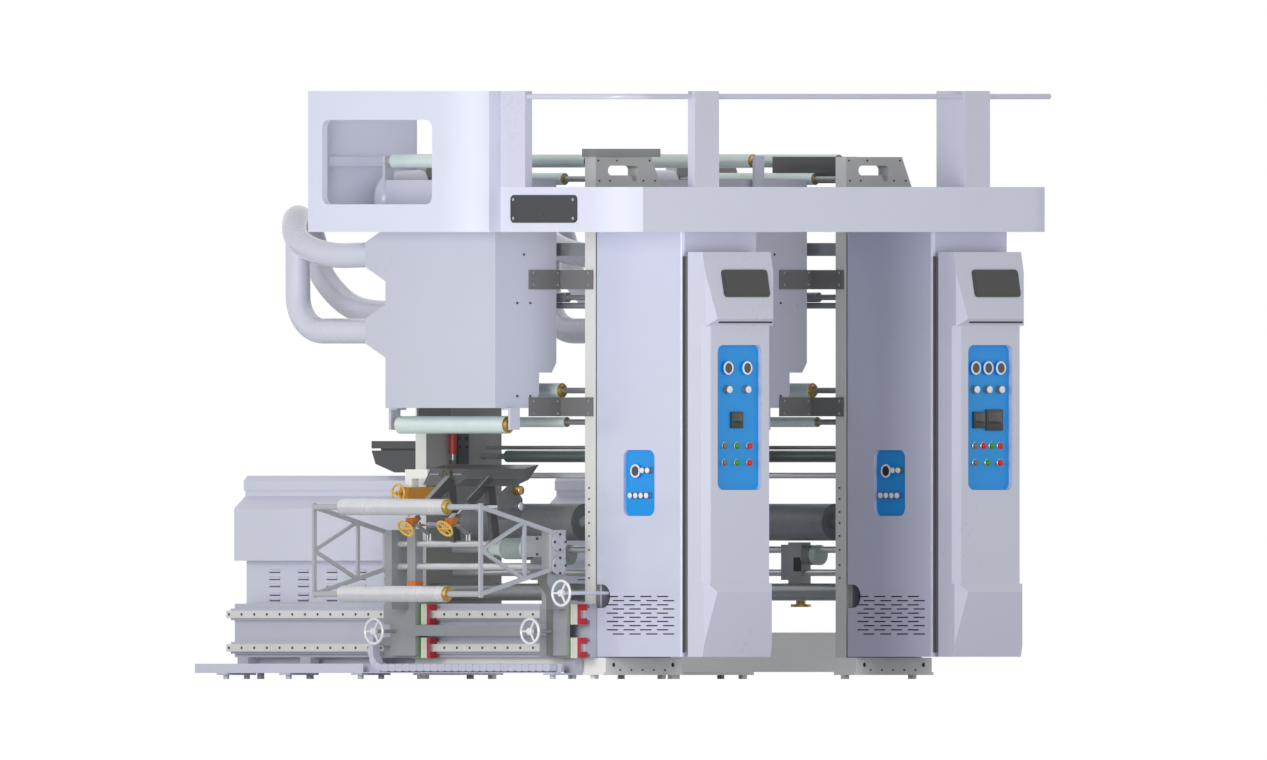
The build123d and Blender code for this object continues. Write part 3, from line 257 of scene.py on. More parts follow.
# %% Ground steel
def ground(name, colour, roughness, metallic=0.85, rings=900.0, depth=0.08):
    finish = Finish(name)
    fine = finish.noise(1.0, 2.0, (4.0, rings, 4.0))
    patch = finish.noise(7.0, 4.0)
    finish.set(base_color=finish.mix(patch, shaded(colour, 0.86), colour), metallic=metallic,
               roughness=roughness + 0.12 * (fine - 0.5) + 0.1 * (patch - 0.5))
    finish.bump(fine, depth, 0.0003)
    return finish


roller_steel = ground("roller_steel", rgb(226, 242, 238), 0.24, 0.15)
bright_steel = ground("bright_steel", rgb(205, 206, 208), 0.22, 0.9)
rod_steel = ground("rod_steel", rgb(226, 228, 230), 0.2, 0.45)
bar_steel = ground("bar_steel", rgb(158, 162, 164), 0.3, 0.55)
rail_steel = ground("rail_steel", rgb(232, 232, 228), 0.3, 0.25)
gold_ring = ground("bearing_gold", rgb(198, 164, 88), 0.3, 0.75)
gold_polish = ground("gold_polish", rgb(214, 176, 92), 0.16, 0.95, 300.0, 0.03)
white_roller = ground("carriage_roller", rgb(222, 223, 226), 0.25, 0.45)
dark_green = ground("roller_dark_green", rgb(112, 128, 124), 0.34, 0.35)
dark_steel = ground("dark_steel", rgb(84, 86, 88), 0.38, 0.6)
blade_metal = ground("blade_metal", rgb(104, 104, 106), 0.34, 0.3, 30.0, 0.05)
print("materials so far", len(bpy.data.materials))

# %% [markdown]
# The impression cylinder is covered in dark rubber, which has no rings but a matt, slightly mottled
# skin. Screens, meters and push-buttons are smooth plastic. What gives plastic away is smears, which
# change how sharply it mirrors more than its colour, so one noise drives the roughness and only
# touches the colour and the bump.

# %% Rubber, screens and small plastics
def rubber(name, colour, roughness):
    finish = Finish(name)
    mottle = finish.noise(38.0, 5.0)
    finish.set(base_color=finish.mix(mottle, colour, shaded(colour, 1.35)),
               roughness=roughness + 0.15 * (mottle - 0.5))
    finish.bump(finish.noise(700.0, 2.0), 0.1, 0.0003)
    return finish


def plastic(name, colour, roughness, coat=0.3):
    finish = Finish(name)
    smear = finish.noise(14.0, 4.0, (1.0, 1.0, 3.0))
    finish.set(base_color=finish.mix(smear, colour, shaded(colour, 1.12, 0.002)), coat_weight=coat,
               roughness=roughness + 0.12 * (smear - 0.5))
    finish.bump(smear, 0.02, 0.0004)
    return finish


cylinder_rubber = rubber("cylinder_rubber", rgb(118, 121, 126), 0.4)
seal_rubber = rubber("seal_rubber", rgb(38, 38, 40), 0.6)
screen_black = plastic("screen_black", rgb(52, 53, 54), 0.3, 0.1)
screen_glass = plastic("screen_glass", rgb(48, 49, 50), 0.2, 0.2)
dial_dark = plastic("dial_dark", rgb(34, 34, 36), 0.12, 0.8)
dial_white = plastic("dial_white", rgb(236, 236, 238), 0.3)
button_red = plastic("button_red", rgb(206, 14, 20), 0.3, 0.1)
button_green = plastic("button_green", rgb(10, 150, 48), 0.3, 0.1)
button_grey = plastic("button_grey", rgb(104, 110, 118), 0.3, 0.1)
seal_green = plastic("seal_green", rgb(40, 140, 60), 0.4)
seal_cream = plastic("seal_cream", rgb(240, 232, 196), 0.4)
seal_red = plastic("seal_red", rgb(186, 20, 34), 0.35)
print("materials so far", len(bpy.data.materials))

# %% [markdown]
# Each CAD node now gets its finish by name. A node's mesh stays as it is, and only the material in its
# slot changes. The two units are alike, so the names that they share are listed once, and the rest of
# the press is listed by itself.

# %% Finishes of the CAD nodes
unit_finishes = {
    "base": base_grey, "operator_frame": frame_grey, "drive_frame": far_grey,
    "cross_members": bar_steel, "operator_cabinet": cabinet_lavender, "console": lavender,
    "controls": panel_blue, "dryer": hood_lavender, "ducts": duct_metal, "drive_cabinet": drive_lavender,
    "dryer_roller": roller_steel, "top_roller": roller_steel, "infeed_roller": roller_steel,
    "transfer_roller": dark_green, "impression_cylinder": cylinder_rubber,
    "lift_gear": carriage_grey, "gear_case": dark_paint,
}
node_finishes = {
    "dryer_brackets": bracket_grey, "rail_beam": beam_grey, "linear_rails": rail_steel,
    "cable_tray": lavender, "canopy": canopy_lavender, "window_box": canopy_lavender, "guard_rail": lavender,
    "carriage": carriage_grey, "carriage_arms": arm_grey, "doctor_blade": blade_metal,
    "blade_screws": bright_steel, "end_gearbox": amber_paint, "energy_chain": chain_grey,
    "upper_web_roller": white_roller, "lower_web_roller": white_roller,
    "near_lock_wheel": white_paint, "far_lock_wheel": white_paint, "port_wheel": white_paint,
    "near_blade_wheel": yellow_paint, "far_blade_wheel": yellow_paint, "end_wheel": yellow_paint,
}
for unit, x0 in UNITS:
    for name, finish in unit_finishes.items():
        node_finishes[f"unit_{unit}_{name}"] = finish
for name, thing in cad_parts.items():
    thing.data.materials.clear()
    thing.data.materials.append(node_finishes[name].material)
print("finished nodes", len(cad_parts))

# %% [markdown]
# The small pieces are built in bmesh. Most are turned, like a dial or a bolt, or boxes, like a cover.
# Modifiers on primitives would need an object for each, but these two builders add to a mesh that is
# already open, which lets a hundred bolts be one piece.

# %% Turned and boxed shapes
def facing(normal):
    """A rotation that takes +z to the normal."""
    return Vector(normal).normalized().to_track_quat("Z", "Y").to_matrix().to_4x4()


def turned(mesh, profile, place, normal, sides=24):
    """Adds a profile of (radius, height) in mm, turned about the normal at a place."""
    move = Matrix.Translation(place) @ facing(normal)
    rings = []
    for radius, height in profile:
        ring = []
        for step in range(sides if radius else 1):
            angle = tau * step / sides
            ring.append(mesh.verts.new(move @ Vector((radius * MM * cos(angle), radius * MM * sin(angle),
                                                      height * MM))))
        rings.append(ring)
    for low, high in zip(rings, rings[1:]):
        for step in range(sides):
            after = (step + 1) % sides
            corners = [low[step % len(low)], low[after % len(low)],
                       high[after % len(high)], high[step % len(high)]]
            unique = list(dict.fromkeys(corners))
            if len(unique) > 2:
                mesh.faces.new(unique)


def slab(mesh, low, high, bevel=0.0):
    """Adds a box between two corners of the layout, with its edges bevelled by some mm."""
    a, b = at(*low), at(*high)
    size = [abs(value) for value in (b - a)]
    place = Matrix.Translation((a + b) / 2) @ Matrix.Diagonal((*size, 1))
    made = bmesh.ops.create_cube(mesh, size=1.0, matrix=place)
    if bevel:
        edges = {edge for vert in made["verts"] for edge in vert.link_edges}
        bmesh.ops.bevel(mesh, geom=list(edges), offset=bevel * MM, segments=2, affect="EDGES", profile=0.6)


# %% [markdown]
# A mesh becomes a piece when it is closed up, given a finish and put on a body, because a piece that
# rides on the carriage has to move with it. Smooth shading would melt the edges away, and flat shading
# would show every facet, so only edges that turn by more than 35 degrees stay sharp.

# %% Pieces and bolts
WELD = 1e-6
SHARP = radians(35)
BOLT = ((0, 0), (6.5, 0), (6.5, 4.5), (5.8, 5.2), (3.2, 5.2), (3.0, 2.4), (0, 2.4))


def piece(name, mesh, finish, body="press"):
    """Closes a mesh as a piece that rides on a body."""
    bmesh.ops.remove_doubles(mesh, verts=mesh.verts, dist=WELD)
    bmesh.ops.recalc_face_normals(mesh, faces=mesh.faces)
    data = bpy.data.meshes.new(name)
    mesh.to_mesh(data)
    mesh.free()
    data.materials.append(finish.material)
    data.shade_smooth()
    data.set_sharp_from_angle(angle=SHARP)
    made = bpy.data.objects.new(name, data)
    bpy.context.collection.objects.link(made)
    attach(made, body)
    print(name, "on", body, "with", len(data.polygons), "faces")


def bolts(name, places, normal, finish, body="press", scale=1.0):
    """One piece of many socket-head bolts."""
    mesh = bmesh.new()
    for place in places:
        turned(mesh, [(radius * scale, height * scale) for radius, height in BOLT], at(*place), normal, 12)
    piece(name, mesh, finish, body)


# %% [markdown]
# The blue panels carry the dials, knobs, meters and push-buttons. CAD gives each a plain disc or block
# at its place. The real ones have a white bezel round dark glass, a pale cap on a grey knob, and a
# bright collar round each push-button. A texture would look flat from the side, so each is turned from
# its own profile over the plain form.

# %% Profiles of the instruments
RIM = ((30, 16), (30, 18.5), (32, 21), (38, 21), (41, 17), (41, 0))
GLASS = ((0, 17.5), (30.2, 17.5), (30.2, 12))
KNOB = ((0, 31), (18, 31), (20, 28), (21, 8), (27, 6), (27, 0))
TIP = ((0, 32.5), (18, 32.2), (20.6, 31), (20.6, 22))
PUSH = ((0, 23), (14, 22.4), (18, 20.5), (18.5, 8), (18.5, 0))
COLLAR = ((18.6, 6), (20, 9), (23, 7), (24, 0))
NEAR, FAR, UPSTREAM, UP = (0, -1, 0), (0, 1, 0), (-1, 0, 0), (0, 0, 1)
dial_rim, dial_glass, knobs, knob_tips, meters, windows, collars = (bmesh.new() for _ in range(7))
pushes = {"red": bmesh.new(), "green": bmesh.new(), "grey": bmesh.new()}


def fit_dial(place, normal):
    turned(dial_rim, RIM, place, normal, 40)
    turned(dial_glass, GLASS, place, normal, 40)


def fit_knob(place, normal, size=1.0):
    turned(knobs, [(radius * size, height) for radius, height in KNOB], place, normal)
    turned(knob_tips, [(radius * size, height) for radius, height in TIP], place, normal)


print("a dial is", 2 * RIM[-1][0], "mm wide and a knob", 2 * KNOB[-1][0], "mm")

# %% [markdown]
# The console has the main panel. The first unit's has two dials and one meter, and the second unit's
# three dials and two meters, with push-buttons in two rows below. The panels differ only in such
# counts, so tables hold them and one loop fits both.

# %% Instruments on the consoles
console_front, console_recess, liner = -1700, 35, 3
panel_face = console_front + console_recess - liner
panel_middle = (99 + 476) / 2
dial_z, knob_z, meter_z, row_reach = 1866, 1737, 1554, 104
DIALS = {1: (2, 160), 2: (3, 106)}
METERS = {1: ((0, 96, 96),), 2: ((-71.5, 96, 96), (57.5, 137, 124))}
ROWS = {1: ((1399, ("grey", "green", "red")), (1297, ("grey", "green", "red"))),
        2: ((1399, ("grey", "red", "green", "red")), (1297, ("grey", "green", "red")))}
for unit, x0 in UNITS:
    count, gap = DIALS[unit]
    for number in range(count):
        x = x0 + panel_middle + (number - (count - 1) / 2) * gap
        fit_dial(at(x, panel_face, dial_z), NEAR)
        fit_knob(at(x, panel_face, knob_z), NEAR)
    for shift, wide, high in METERS[unit]:
        x = x0 + panel_middle + shift
        slab(meters, (x - wide / 2 - 2, panel_face - 14, meter_z - high / 2 - 2),
             (x + wide / 2 + 2, panel_face, meter_z + high / 2 + 2), 3)
        slab(windows, (x - wide * 0.4, panel_face - 15.5, meter_z - high * 0.2),
             (x + wide * 0.4, panel_face - 10, meter_z + high * 0.38), 1)
    for z, colours in ROWS[unit]:
        for number, colour in enumerate(colours):
            across = (2 * number / (len(colours) - 1) - 1) * row_reach
            place = at(x0 + panel_middle + across, panel_face, z)
            turned(pushes[colour], PUSH, place, NEAR)
            turned(collars, COLLAR, place, NEAR)
print("console panels at y", panel_face)

# %% [markdown]
# A smaller panel on each operator cabinet looks upstream, with one dial and six small knobs. It uses
# the same profiles, turned a quarter and with the knobs at four fifths. All instruments of a kind then
# become one piece, because they share a finish and never move.

# %% Instruments on the cabinets
cabinet_recess, small = 25, 0.8
side_face = cabinet_recess - liner
side_middle = -(1001 + 1264) / 2
for unit, x0 in UNITS:
    fit_dial(at(x0 + side_face, side_middle + 38, 1248), UPSTREAM)
    for number in range(2):
        fit_knob(at(x0 + side_face, side_middle - 30 - 44 * number, 1252), UPSTREAM, small)
    for number in range(4):
        fit_knob(at(x0 + side_face, side_middle + 72 - 46 * number, 1101), UPSTREAM, small)
piece("dial_rims", dial_rim, dial_white)
piece("dial_glasses", dial_glass, dial_dark)
piece("panel_knobs", knobs, button_grey)
piece("knob_tips", knob_tips, dial_white)
piece("meter_cases", meters, screen_black)
piece("meter_windows", windows, dial_dark)
piece("push_collars", collars, bright_steel)
for colour, finish in (("red", button_red), ("green", button_green), ("grey", button_grey)):
    piece(f"push_{colour}", pushes[colour], finish)

# %% [markdown]
# Bearings show as gold rings at the ends of the rollers: the outer races with their covers. A ring
# could be a plain torus, but a turned profile can stand just proud of the roller's end face and reach
# a little way over its rim, which hides the hard edge between the two metals.

# %% Bearing rings
web_end = 472.5
LONG_ROLLERS = ((-435, 1525, 53), (-487, 3108, 42), (20, 1731, 45))
SHORT_ROLLERS = ((50, 1542, 30), (30, 3000, 36), (230, 3108, 39))
mesh = bmesh.new()
for unit, x0 in UNITS:
    for x, z, radius in LONG_ROLLERS + SHORT_ROLLERS:
        lip = radius * 0.3
        ring = ((18.5, 3), (18.5, 5), (radius * 0.7, 5), (radius * 0.8, -lip + 3),
                (radius * 0.97, -lip + 2), (radius * 0.97, -lip))
        for side in SIDES:
            turned(mesh, ring, at(x0 + x, side * web_end, z), (0, side, 0), 32)
piece("bearing_rings", mesh, gold_ring)

CARRIAGE_RING = ((18.5, 3), (18.5, 5), (34, 5), (40, -12), (47.5, -13), (47.5, -15))
mesh = bmesh.new()
for z in (510, 1032):
    for normal, y in ((NEAR, -433), (FAR, 482)):
        turned(mesh, CARRIAGE_RING, at(-917, y, z), normal, 32)
piece("carriage_rings", mesh, gold_ring, "carriage")

# %% [markdown]
# Each console's screen is a dark sheet with rounded corners that lies on the sloping head. A bevelled
# box would have to be turned to the slope. It is simpler to build the sheet from its outline in the
# slope's own plane.

# %% Sheets with an outline
def rounded(width, height, radius, steps=6):
    """The corner points of a rounded rectangle about its middle."""
    points = []
    for turn, (sx, sy) in enumerate(((1, 1), (-1, 1), (-1, -1), (1, -1))):
        for step in range(steps + 1):
            angle = (turn + step / steps) * pi / 2
            points.append((sx * (width / 2 - radius) + radius * cos(angle),
                           sy * (height / 2 - radius) + radius * sin(angle)))
    return points


def sheet(mesh, middle, across, up, points, thick):
    """Adds a plate from an outline in mm, with its back on the plane of across and up."""
    out = across.cross(up)
    front_ring = [mesh.verts.new(middle + (across * x + up * y + out * thick) * MM) for x, y in points]
    back_ring = [mesh.verts.new(middle + (across * x + up * y) * MM) for x, y in points]
    mesh.faces.new(front_ring)
    for step, corner in enumerate(front_ring):
        after = (step + 1) % len(front_ring)
        mesh.faces.new((corner, back_ring[step], back_ring[after], front_ring[after]))


# %% [markdown]
# The bezel lies on the slope, and the glass stands 6.2 mm in front of its back, inside the bezel's
# outline. Below the slope, a dark strip of painted shadow fills the gap where the head ends and the
# console's body begins.

# %% Screens on the consoles
east = Vector((1, 0, 0))
slope_top = Vector((0, -1672, 2562))
slope_low = Vector((0, -1747, 2162))
slope_up = (slope_top - slope_low).normalized()
slope_out = east.cross(slope_up)
screen_x, screen_z, glass_lift = 326, 2373, 6.2
screen_y = slope_top.lerp(slope_low, (slope_top.z - screen_z) / (slope_top.z - slope_low.z)).y
screens, bezels, head_shadows = bmesh.new(), bmesh.new(), bmesh.new()
for unit, x0 in UNITS:
    place = at(x0 + screen_x, screen_y, screen_z)
    sheet(bezels, place, east, slope_up, rounded(386, 167, 23), 8)
    sheet(screens, place + slope_out * glass_lift * MM, east, slope_up, rounded(360, 142, 14), 3)
    # A dark strip below each head: painted shadow under the head's lip.
    slab(head_shadows, (x0 + 85, -1729, 2135), (x0 + 535, -1714, 2147), 3)
piece("screen_bezels", bezels, screen_black)
piece("screen_glasses", screens, screen_glass)
piece("head_painted_shadows", head_shadows, seal_rubber)

# %% [markdown]
# Machines like this one are covered in small fasteners: along the frames' edges, on the dryer's
# brackets and on the hoods. A particle system would scatter them, but real ones sit in rows where two
# sheets meet, so their places were measured off the photograph.

# %% Bolts on the frames, brackets and hoods
EDGE_Z = (1146, 1080, 1002, 936, 858, 774, 684, 606)
BRACKET_Z = (2436, 2364, 1666, 1593)
TOP_XZ = ((22, 3110), (178, 3110), (455, 3110), (30, 2990), (122, 2990), (404, 2990), (503, 2990))
HOOD_XZ = ((-312, 2547), (-369, 2256), (-259, 2256), (-369, 1698), (-259, 1698))
places = in_units([(0, y, z) for y in (-710, 726) for z in EDGE_Z])
bolts("frame_edge_bolts", places, UPSTREAM, dark_steel, scale=0.9)
bolts("frame_top_bolts", in_units([(x, -764, z) for x, z in TOP_XZ]), NEAR, dark_steel, scale=0.9)
places = in_units([(-8, side * 715, z) for side in SIDES for z in BRACKET_Z])
bolts("bracket_wing_bolts", places, UPSTREAM, bright_steel, scale=1.3)
for side, name in ((-1, "near"), (1, "far")):
    places = in_units([(x, side * 474, z) for x in (-237, -32) for z in BRACKET_Z])
    bolts(f"bracket_leaf_bolts_{name}", places, (0, side, 0), bright_steel, scale=1.3)
    places = in_units([(x, side * 466, z) for x, z in HOOD_XZ])
    bolts(f"hood_screws_{name}", places, (0, side, 0), dark_steel, scale=1.1)
places = in_units([(x, 664, z) for x in (274, 332) for z in (1444, 1393)])
bolts("guide_plate_bolts", places, NEAR, seal_rubber, scale=1.2)

# %% [markdown]
# The fascia under the canopy has one blank dark plate near its corner, held by four screws, and a
# short return that brings it up to the window box. The return could be drawn in CAD as well. Here it
# is a plain box in the fascia's own finish, so that the two read as one face.

# %% Fascia
mesh = bmesh.new()
sheet(mesh, at(-666, -993, 2820.5), Vector(NEAR), Vector(UP), rounded(566, 167, 28), 4)
piece("fascia_plate", mesh, screen_black)
mesh = bmesh.new()
slab(mesh, (-666, -776, 2682), (-626, -623, 2952))
piece("fascia_return", mesh, canopy_lavender)
places = [(-670, y, z) for y in (-740, -1246) for z in (2764, 2877)]
bolts("fascia_plate_screws", places, UPSTREAM, bright_steel, scale=1.4)

# %% [markdown]
# The drive cabinets have rows of louvres, and the operator cabinets have staggered slots. What makes
# an opening read as open is the shade in it. Cutting holes would change the CAD pieces, so a thin dark
# strip of painted shadow lies under each louvre, and one of painted shade just inside each slot.

# %% Painted shade under the louvres and in the vents
LOUVRE_Z = (650, 607, 565, 513, 480)
LOUVRES_END = {1: 2258, 2: 1745}
louvres_start, louvre_pitch = 1046, 242.7
mesh = bmesh.new()
for unit, x0 in UNITS:
    for column in range(int((LOUVRES_END[unit] - louvres_start) / louvre_pitch) + 1):
        y = louvres_start + column * louvre_pitch
        for z in LOUVRE_Z:
            slab(mesh, (x0 + 58.6, y - 44, z - 14), (x0 + 60.5, y + 44, z - 6))
# Dark strips under the louvres: painted shadow.
piece("louvre_painted_shadows", mesh, seal_rubber)

vents_start, vents_top, vent_shift, vent_pitch, vent_drop = 905, 495, 51, 142, 25
mesh = bmesh.new()
for unit, x0 in UNITS:
    for row in range(10):
        for column in range(4):
            y = -(vents_start + (vent_shift if row % 2 else 0) + column * vent_pitch)
            z = vents_top - row * vent_drop
            slab(mesh, (x0 + 4.8, y - 48.5, z - 3.6), (x0 + 5.9, y + 48.5, z + 3.6))
# Dark strips inside the slots: painted shade.
piece("vent_painted_shade", mesh, seal_rubber)

# %% [markdown]
# The bars and short rollers between the frames share one CAD node, yet they are polished, green or
# dark. A node is one mesh with one finish here, so a sleeve 0.6 mm thick over each bar gives it its
# own metal.

# %% Sleeves on the bars
frame_inside, gear_near, gear_far = 674, -190, 6
green, bright, bridge = bmesh.new(), bmesh.new(), bmesh.new()


def sleeve(mesh, x, z, radius, low, high):
    """Adds a thin skin round a bar that runs along y."""
    turned(mesh, ((radius, 0), (radius + 0.6, 0.6), (radius + 0.6, high - low - 0.6), (radius, high - low)),
           at(x, low, z), FAR, 32)


for unit, x0 in UNITS:
    for x, z, radius in SHORT_ROLLERS:
        sleeve(green, x0 + x, z, radius, -472, 472)
    for z in (776, 638):
        sleeve(bright, x0 + 240, z, 20, -frame_inside, gear_near)
        sleeve(bright, x0 + 240, z, 20, gear_far, frame_inside)
    sleeve(bright, x0 + 130, 1221, 17, -frame_inside, frame_inside)
for z in (810, 675):
    sleeve(bridge, -258, z, 20, -450, 636)
piece("roller_sleeves", green, roller_steel)
piece("bar_sleeves", bright, rod_steel)
piece("bridge_sleeves", bridge, rod_steel, "carriage")

# %% [markdown]
# The dark head block on the second unit and the grey plate on top of the first unit's frame belong to
# larger CAD nodes of another colour. For the same reason they get a cover: a box that is slightly
# larger, with its edges broken as on a machined block.

# %% Covers
COVERS = (("head_block_cover", dark_paint, (pitch + 78.5, -673, 2974.5), (pitch + 181.5, -58.5, 3133.5), 2),
          ("top_plate_cover", plate_grey, (-14.5, -775.5, 3132.5), (539.5, -662.5, 3181.5), 1))
for name, finish, low, high, bevel in COVERS:
    mesh = bmesh.new()
    slab(mesh, low, high, bevel)
    piece(name, mesh, finish)

# %% [markdown]
# The two linear rails have a screw hole every 107.5 mm. Real holes would have to be cut in the CAD
# rails, but at this distance a hole shows only as the shade in it, so a very flat dark cone over each
# place is painted shade.

# %% Painted shade in the rail holes
RAIL_Z = (388, 187)
HOLE = ((0, 0.15), (8.5, 0.15), (9, 0))
hole_count, first_hole, hole_pitch = 28, 2216, 107.5
mesh = bmesh.new()
for number in range(hole_count):
    for z in RAIL_Z:
        turned(mesh, HOLE, at(-132, first_hole - hole_pitch * number, z), UPSTREAM, 16)
piece("rail_hole_shade", mesh, dark_steel)

# %% [markdown]
# The guide blocks that run on the rails are steel, and end in green, cream and red seals that wipe the
# rail. Rings of colour in one material would need a mask along y. Thin sides round the block, open
# towards the rail, are easier to place, and they ride with the carriage.

# %% Seals of the guide blocks
block_front, block_back, block_half, groove_half = -154, -100, 60, 24
BANDS = (("green", 561, 579), ("cream", 546, 561), ("steel", 514, 546), ("red", 488, 514),
         ("green", -708, -700), ("cream", -716, -708), ("steel", -764, -716), ("red", -791, -764))
PROUD = {"green": 1.6, "cream": 1.6, "steel": 1.6, "red": 1.0}
seals = {"green": bmesh.new(), "cream": bmesh.new(), "steel": bmesh.new(), "red": bmesh.new()}


def clad(mesh, y_span, middle_z, proud):
    """Three thin sides round a guide block, open towards the rail."""
    low, high = y_span
    slab(mesh, (block_front - proud, low, middle_z - block_half - proud),
         (block_front + 1, high, middle_z + block_half + proud))
    for side in SIDES:
        edge = middle_z + side * block_half
        slab(mesh, (block_front, low, edge - side), (block_back, high, edge + side * proud))


for z in RAIL_Z:
    for colour, low, high in BANDS:
        clad(seals[colour], (low, high), z, PROUD[colour])
    for end_y in (488, -791):
        for side in SIDES:
            low, high = sorted((z + side * groove_half, z + side * block_half))
            slab(seals["red"], (block_front, end_y - 1.2, low), (-97, end_y + 2.2, high))
for colour, finish in (("green", seal_green), ("cream", seal_cream), ("steel", rail_steel),
                       ("red", seal_red)):
    piece(f"block_seals_{colour}", seals[colour], finish, "carriage")

# %% [markdown]
# The near arm of the carriage has a pair of round flanges with four bolts each. One orange block sits
# under the slide column and one on each blade screw. The flanges' steps catch the light as rings, so
# they are in the turned profile, because a bump would lose them at the rim.

# %% Blocks and flanges of the carriage
mesh = bmesh.new()
slab(mesh, (-292, 475, 555), (-224, 547, 588), 3)
for side in SIDES:
    slab(mesh, (-658, side * 166 - 26, 914), (-602, side * 166 + 26, 968), 4)
piece("orange_blocks", mesh, orange_paint, "carriage")

FLANGE = ((0, 4), (17, 4), (18, 1.5), (36, 1.5), (37, 3), (54.5, 3), (56, 1), (56, -13))
flange_x, bolt_circle = -270, 46
places = []
mesh = bmesh.new()
for z in (681, 822):
    turned(mesh, FLANGE, at(flange_x, -728, z), NEAR, 40)
    for turn in (0, pi / 2, pi, 3 * pi / 2):
        places.append((flange_x + bolt_circle * cos(turn), -731, z + bolt_circle * sin(turn)))
piece("arm_flanges", mesh, arm_grey, "carriage")
bolts("flange_bolts", places, NEAR, dark_steel, "carriage", 1.2)
places = [(-326, y, z) for y in (-595, -496) for z in (842, 748)]
bolts("reducer_bolts", places, UPSTREAM, dark_steel, "carriage", 1.2)

# %% [markdown]
# The carriage's motor has a round flange, a body with cooling fins and a cap over its fan. An array
# modifier could repeat one fin, but a loop that turns fourteen of them from the same profile keeps the
# whole shell in one mesh on one axis.

# %% Motor of the carriage
motor_x, motor_y, motor_z = -258, -456, 782
fin_count, first_fin, fin_pitch = 14, 24, 12.5
MOTOR_CAP = ((57, 198), (57, 218), (42, 220), (41, 306), (58, 306), (58, 318), (50, 321), (0, 321))
motor = at(motor_x, motor_y, motor_z)
mesh = bmesh.new()
turned(mesh, ((68, 0), (68, 17), (58, 19)), motor, FAR, 32)
for fin in range(fin_count):
    start = first_fin + fin * fin_pitch
    turned(mesh, ((56.5, start), (64, start + 0.5), (64, start + 3), (56.5, start + 3.5)), motor, FAR, 32)
turned(mesh, MOTOR_CAP, motor, FAR, 32)
piece("drive_motor_shell", mesh, motor_green, "carriage")

# Dark discs on the fan cap are painted shade, in place of its air holes.
mesh = bmesh.new()
air_holes, hole_circle = 10, 50
for number in range(air_holes):
    turn = tau * number / air_holes
    place = at(motor_x + hole_circle * cos(turn), -150, motor_z + hole_circle * sin(turn))
    turned(mesh, ((0, 0.6), (5.5, 0.6), (5.5, 0)), place, NEAR, 10)
piece("drive_motor_hole_shade", mesh, seal_rubber, "carriage")

# %% [markdown]
# The near saddle's neck is a bent dark strap, and the neck that carries the amber gearbox is pale. In
# CAD the first is a straight post, and the second shares the gearbox's colour. The strap is a sheet
# with the bent outline, and the pale neck gets a cover of two boxes.

# %% Strap and neck
STRAP = ((606, 640), (606, 585), (677, 498), (677, 421), (728, 421), (728, 505), (680, 578), (680, 640))
mesh = bmesh.new()
slab(mesh, (-188.5, -590, 141), (-186, -533, 420))
sheet(mesh, at(-330, 0, 0), Vector(NEAR), Vector(UP), STRAP, 3)
piece("near_strap", mesh, bracket_grey, "carriage")
mesh = bmesh.new()
slab(mesh, (-263.5, 399.8, 1202.5), (-203.5, 589.5, 1257.5))
slab(mesh, (-263.4, 534.5, 1144), (-203.6, 589.4, 1210), 1)
piece("gearbox_neck_cover", mesh, base_grey, "carriage")

# %% [markdown]
# The doctor blade device ends in a gold knob and a pale pin, and a polished roller joins its end plate
# to the near arm. They are round, and polish shows every facet of a round thing, so they are turned
# with 32 sides, while the thin rod behind the screws does with 16.

# %% Knob and pins of the doctor blade
BLADE_KNOB = ((0, 2), (19, 2), (24, 0), (27.8, -3), (27.8, -12), (25, -14), (27.8, -16), (27.8, -45))
mesh = bmesh.new()
turned(mesh, BLADE_KNOB, at(-330, -462, 1132), NEAR, 32)
piece("blade_knob_shell", mesh, gold_polish, "carriage")
mesh = bmesh.new()
turned(mesh, ((0, 2), (20, 2), (24.6, 0), (24.6, -45)), at(-328, -462, 1035), NEAR, 32)
turned(mesh, ((0, 0), (24, 0), (24, 230), (0, 230)), at(-404, -402, 1026), FAR, 32)
turned(mesh, ((0, 0), (7, 0), (7, 300), (0, 300)), at(-598, -150, 925), FAR, 16)
piece("blade_pins", mesh, bright_steel, "carriage")

# %% [markdown]
# A spring on that rod pulls the two screws together. A curve with a bevel would make one too, but the
# curve would have to be turned into a mesh. Here rings of six points are set along the coil, each one
# facing the next, and joined.

# %% Spring of the doctor blade
coils, steps, wire_sides, wire, coil_radius, coil_length = 8, 14, 6, 0.0025, 15, 120
coil = []
for step in range(coils * steps + 1):
    angle = tau * step / steps
    y = -60 + coil_length * step / (coils * steps)
    coil.append(at(-598 + coil_radius * cos(angle), y, 925 + coil_radius * sin(angle)))
mesh = bmesh.new()
rings = []
for number, point in enumerate(coil):
    turn = facing(coil[min(number + 1, len(coil) - 1)] - coil[max(number - 1, 0)])
    angles = [tau * k / wire_sides for k in range(wire_sides)]
    rings.append([mesh.verts.new(point + turn @ Vector((wire * cos(angle), wire * sin(angle), 0)))
                  for angle in angles])
for low, high in zip(rings, rings[1:]):
    for k in range(wire_sides):
        after = (k + 1) % wire_sides
        mesh.faces.new((low[k], low[after], high[after], high[k]))
mesh.faces.new(rings[0])
mesh.faces.new(rings[-1])
piece("blade_spring", mesh, bright_steel, "carriage")

# %% [markdown]
# Beside each blade screw two bright rods slant down from a small block, and end at short upright ones.
# They could be upright cylinders that are rotated afterwards, but `turned` takes any direction, so the
# slant is given as a normal in x and z.

# %% Links of the doctor blade
screw_y, rod_slant = 166, (92, 0, -53)
mesh = bmesh.new()
for side in SIDES:
    y = side * screw_y
    slab(mesh, (-642, y - 76, 912), (-622, y - 25, 932), 2)
    for rod_y in (y - 44, y - 66):
        turned(mesh, ((0, 0), (6.5, 0), (6.5, 112), (0, 112)), at(-632, rod_y, 921), rod_slant, 14)
        turned(mesh, ((0, 0), (8.5, 0), (8.5, 44), (0, 44)), at(-538, rod_y, 874), (0, 0, -1), 14)
piece("blade_links", mesh, bar_steel, "carriage")
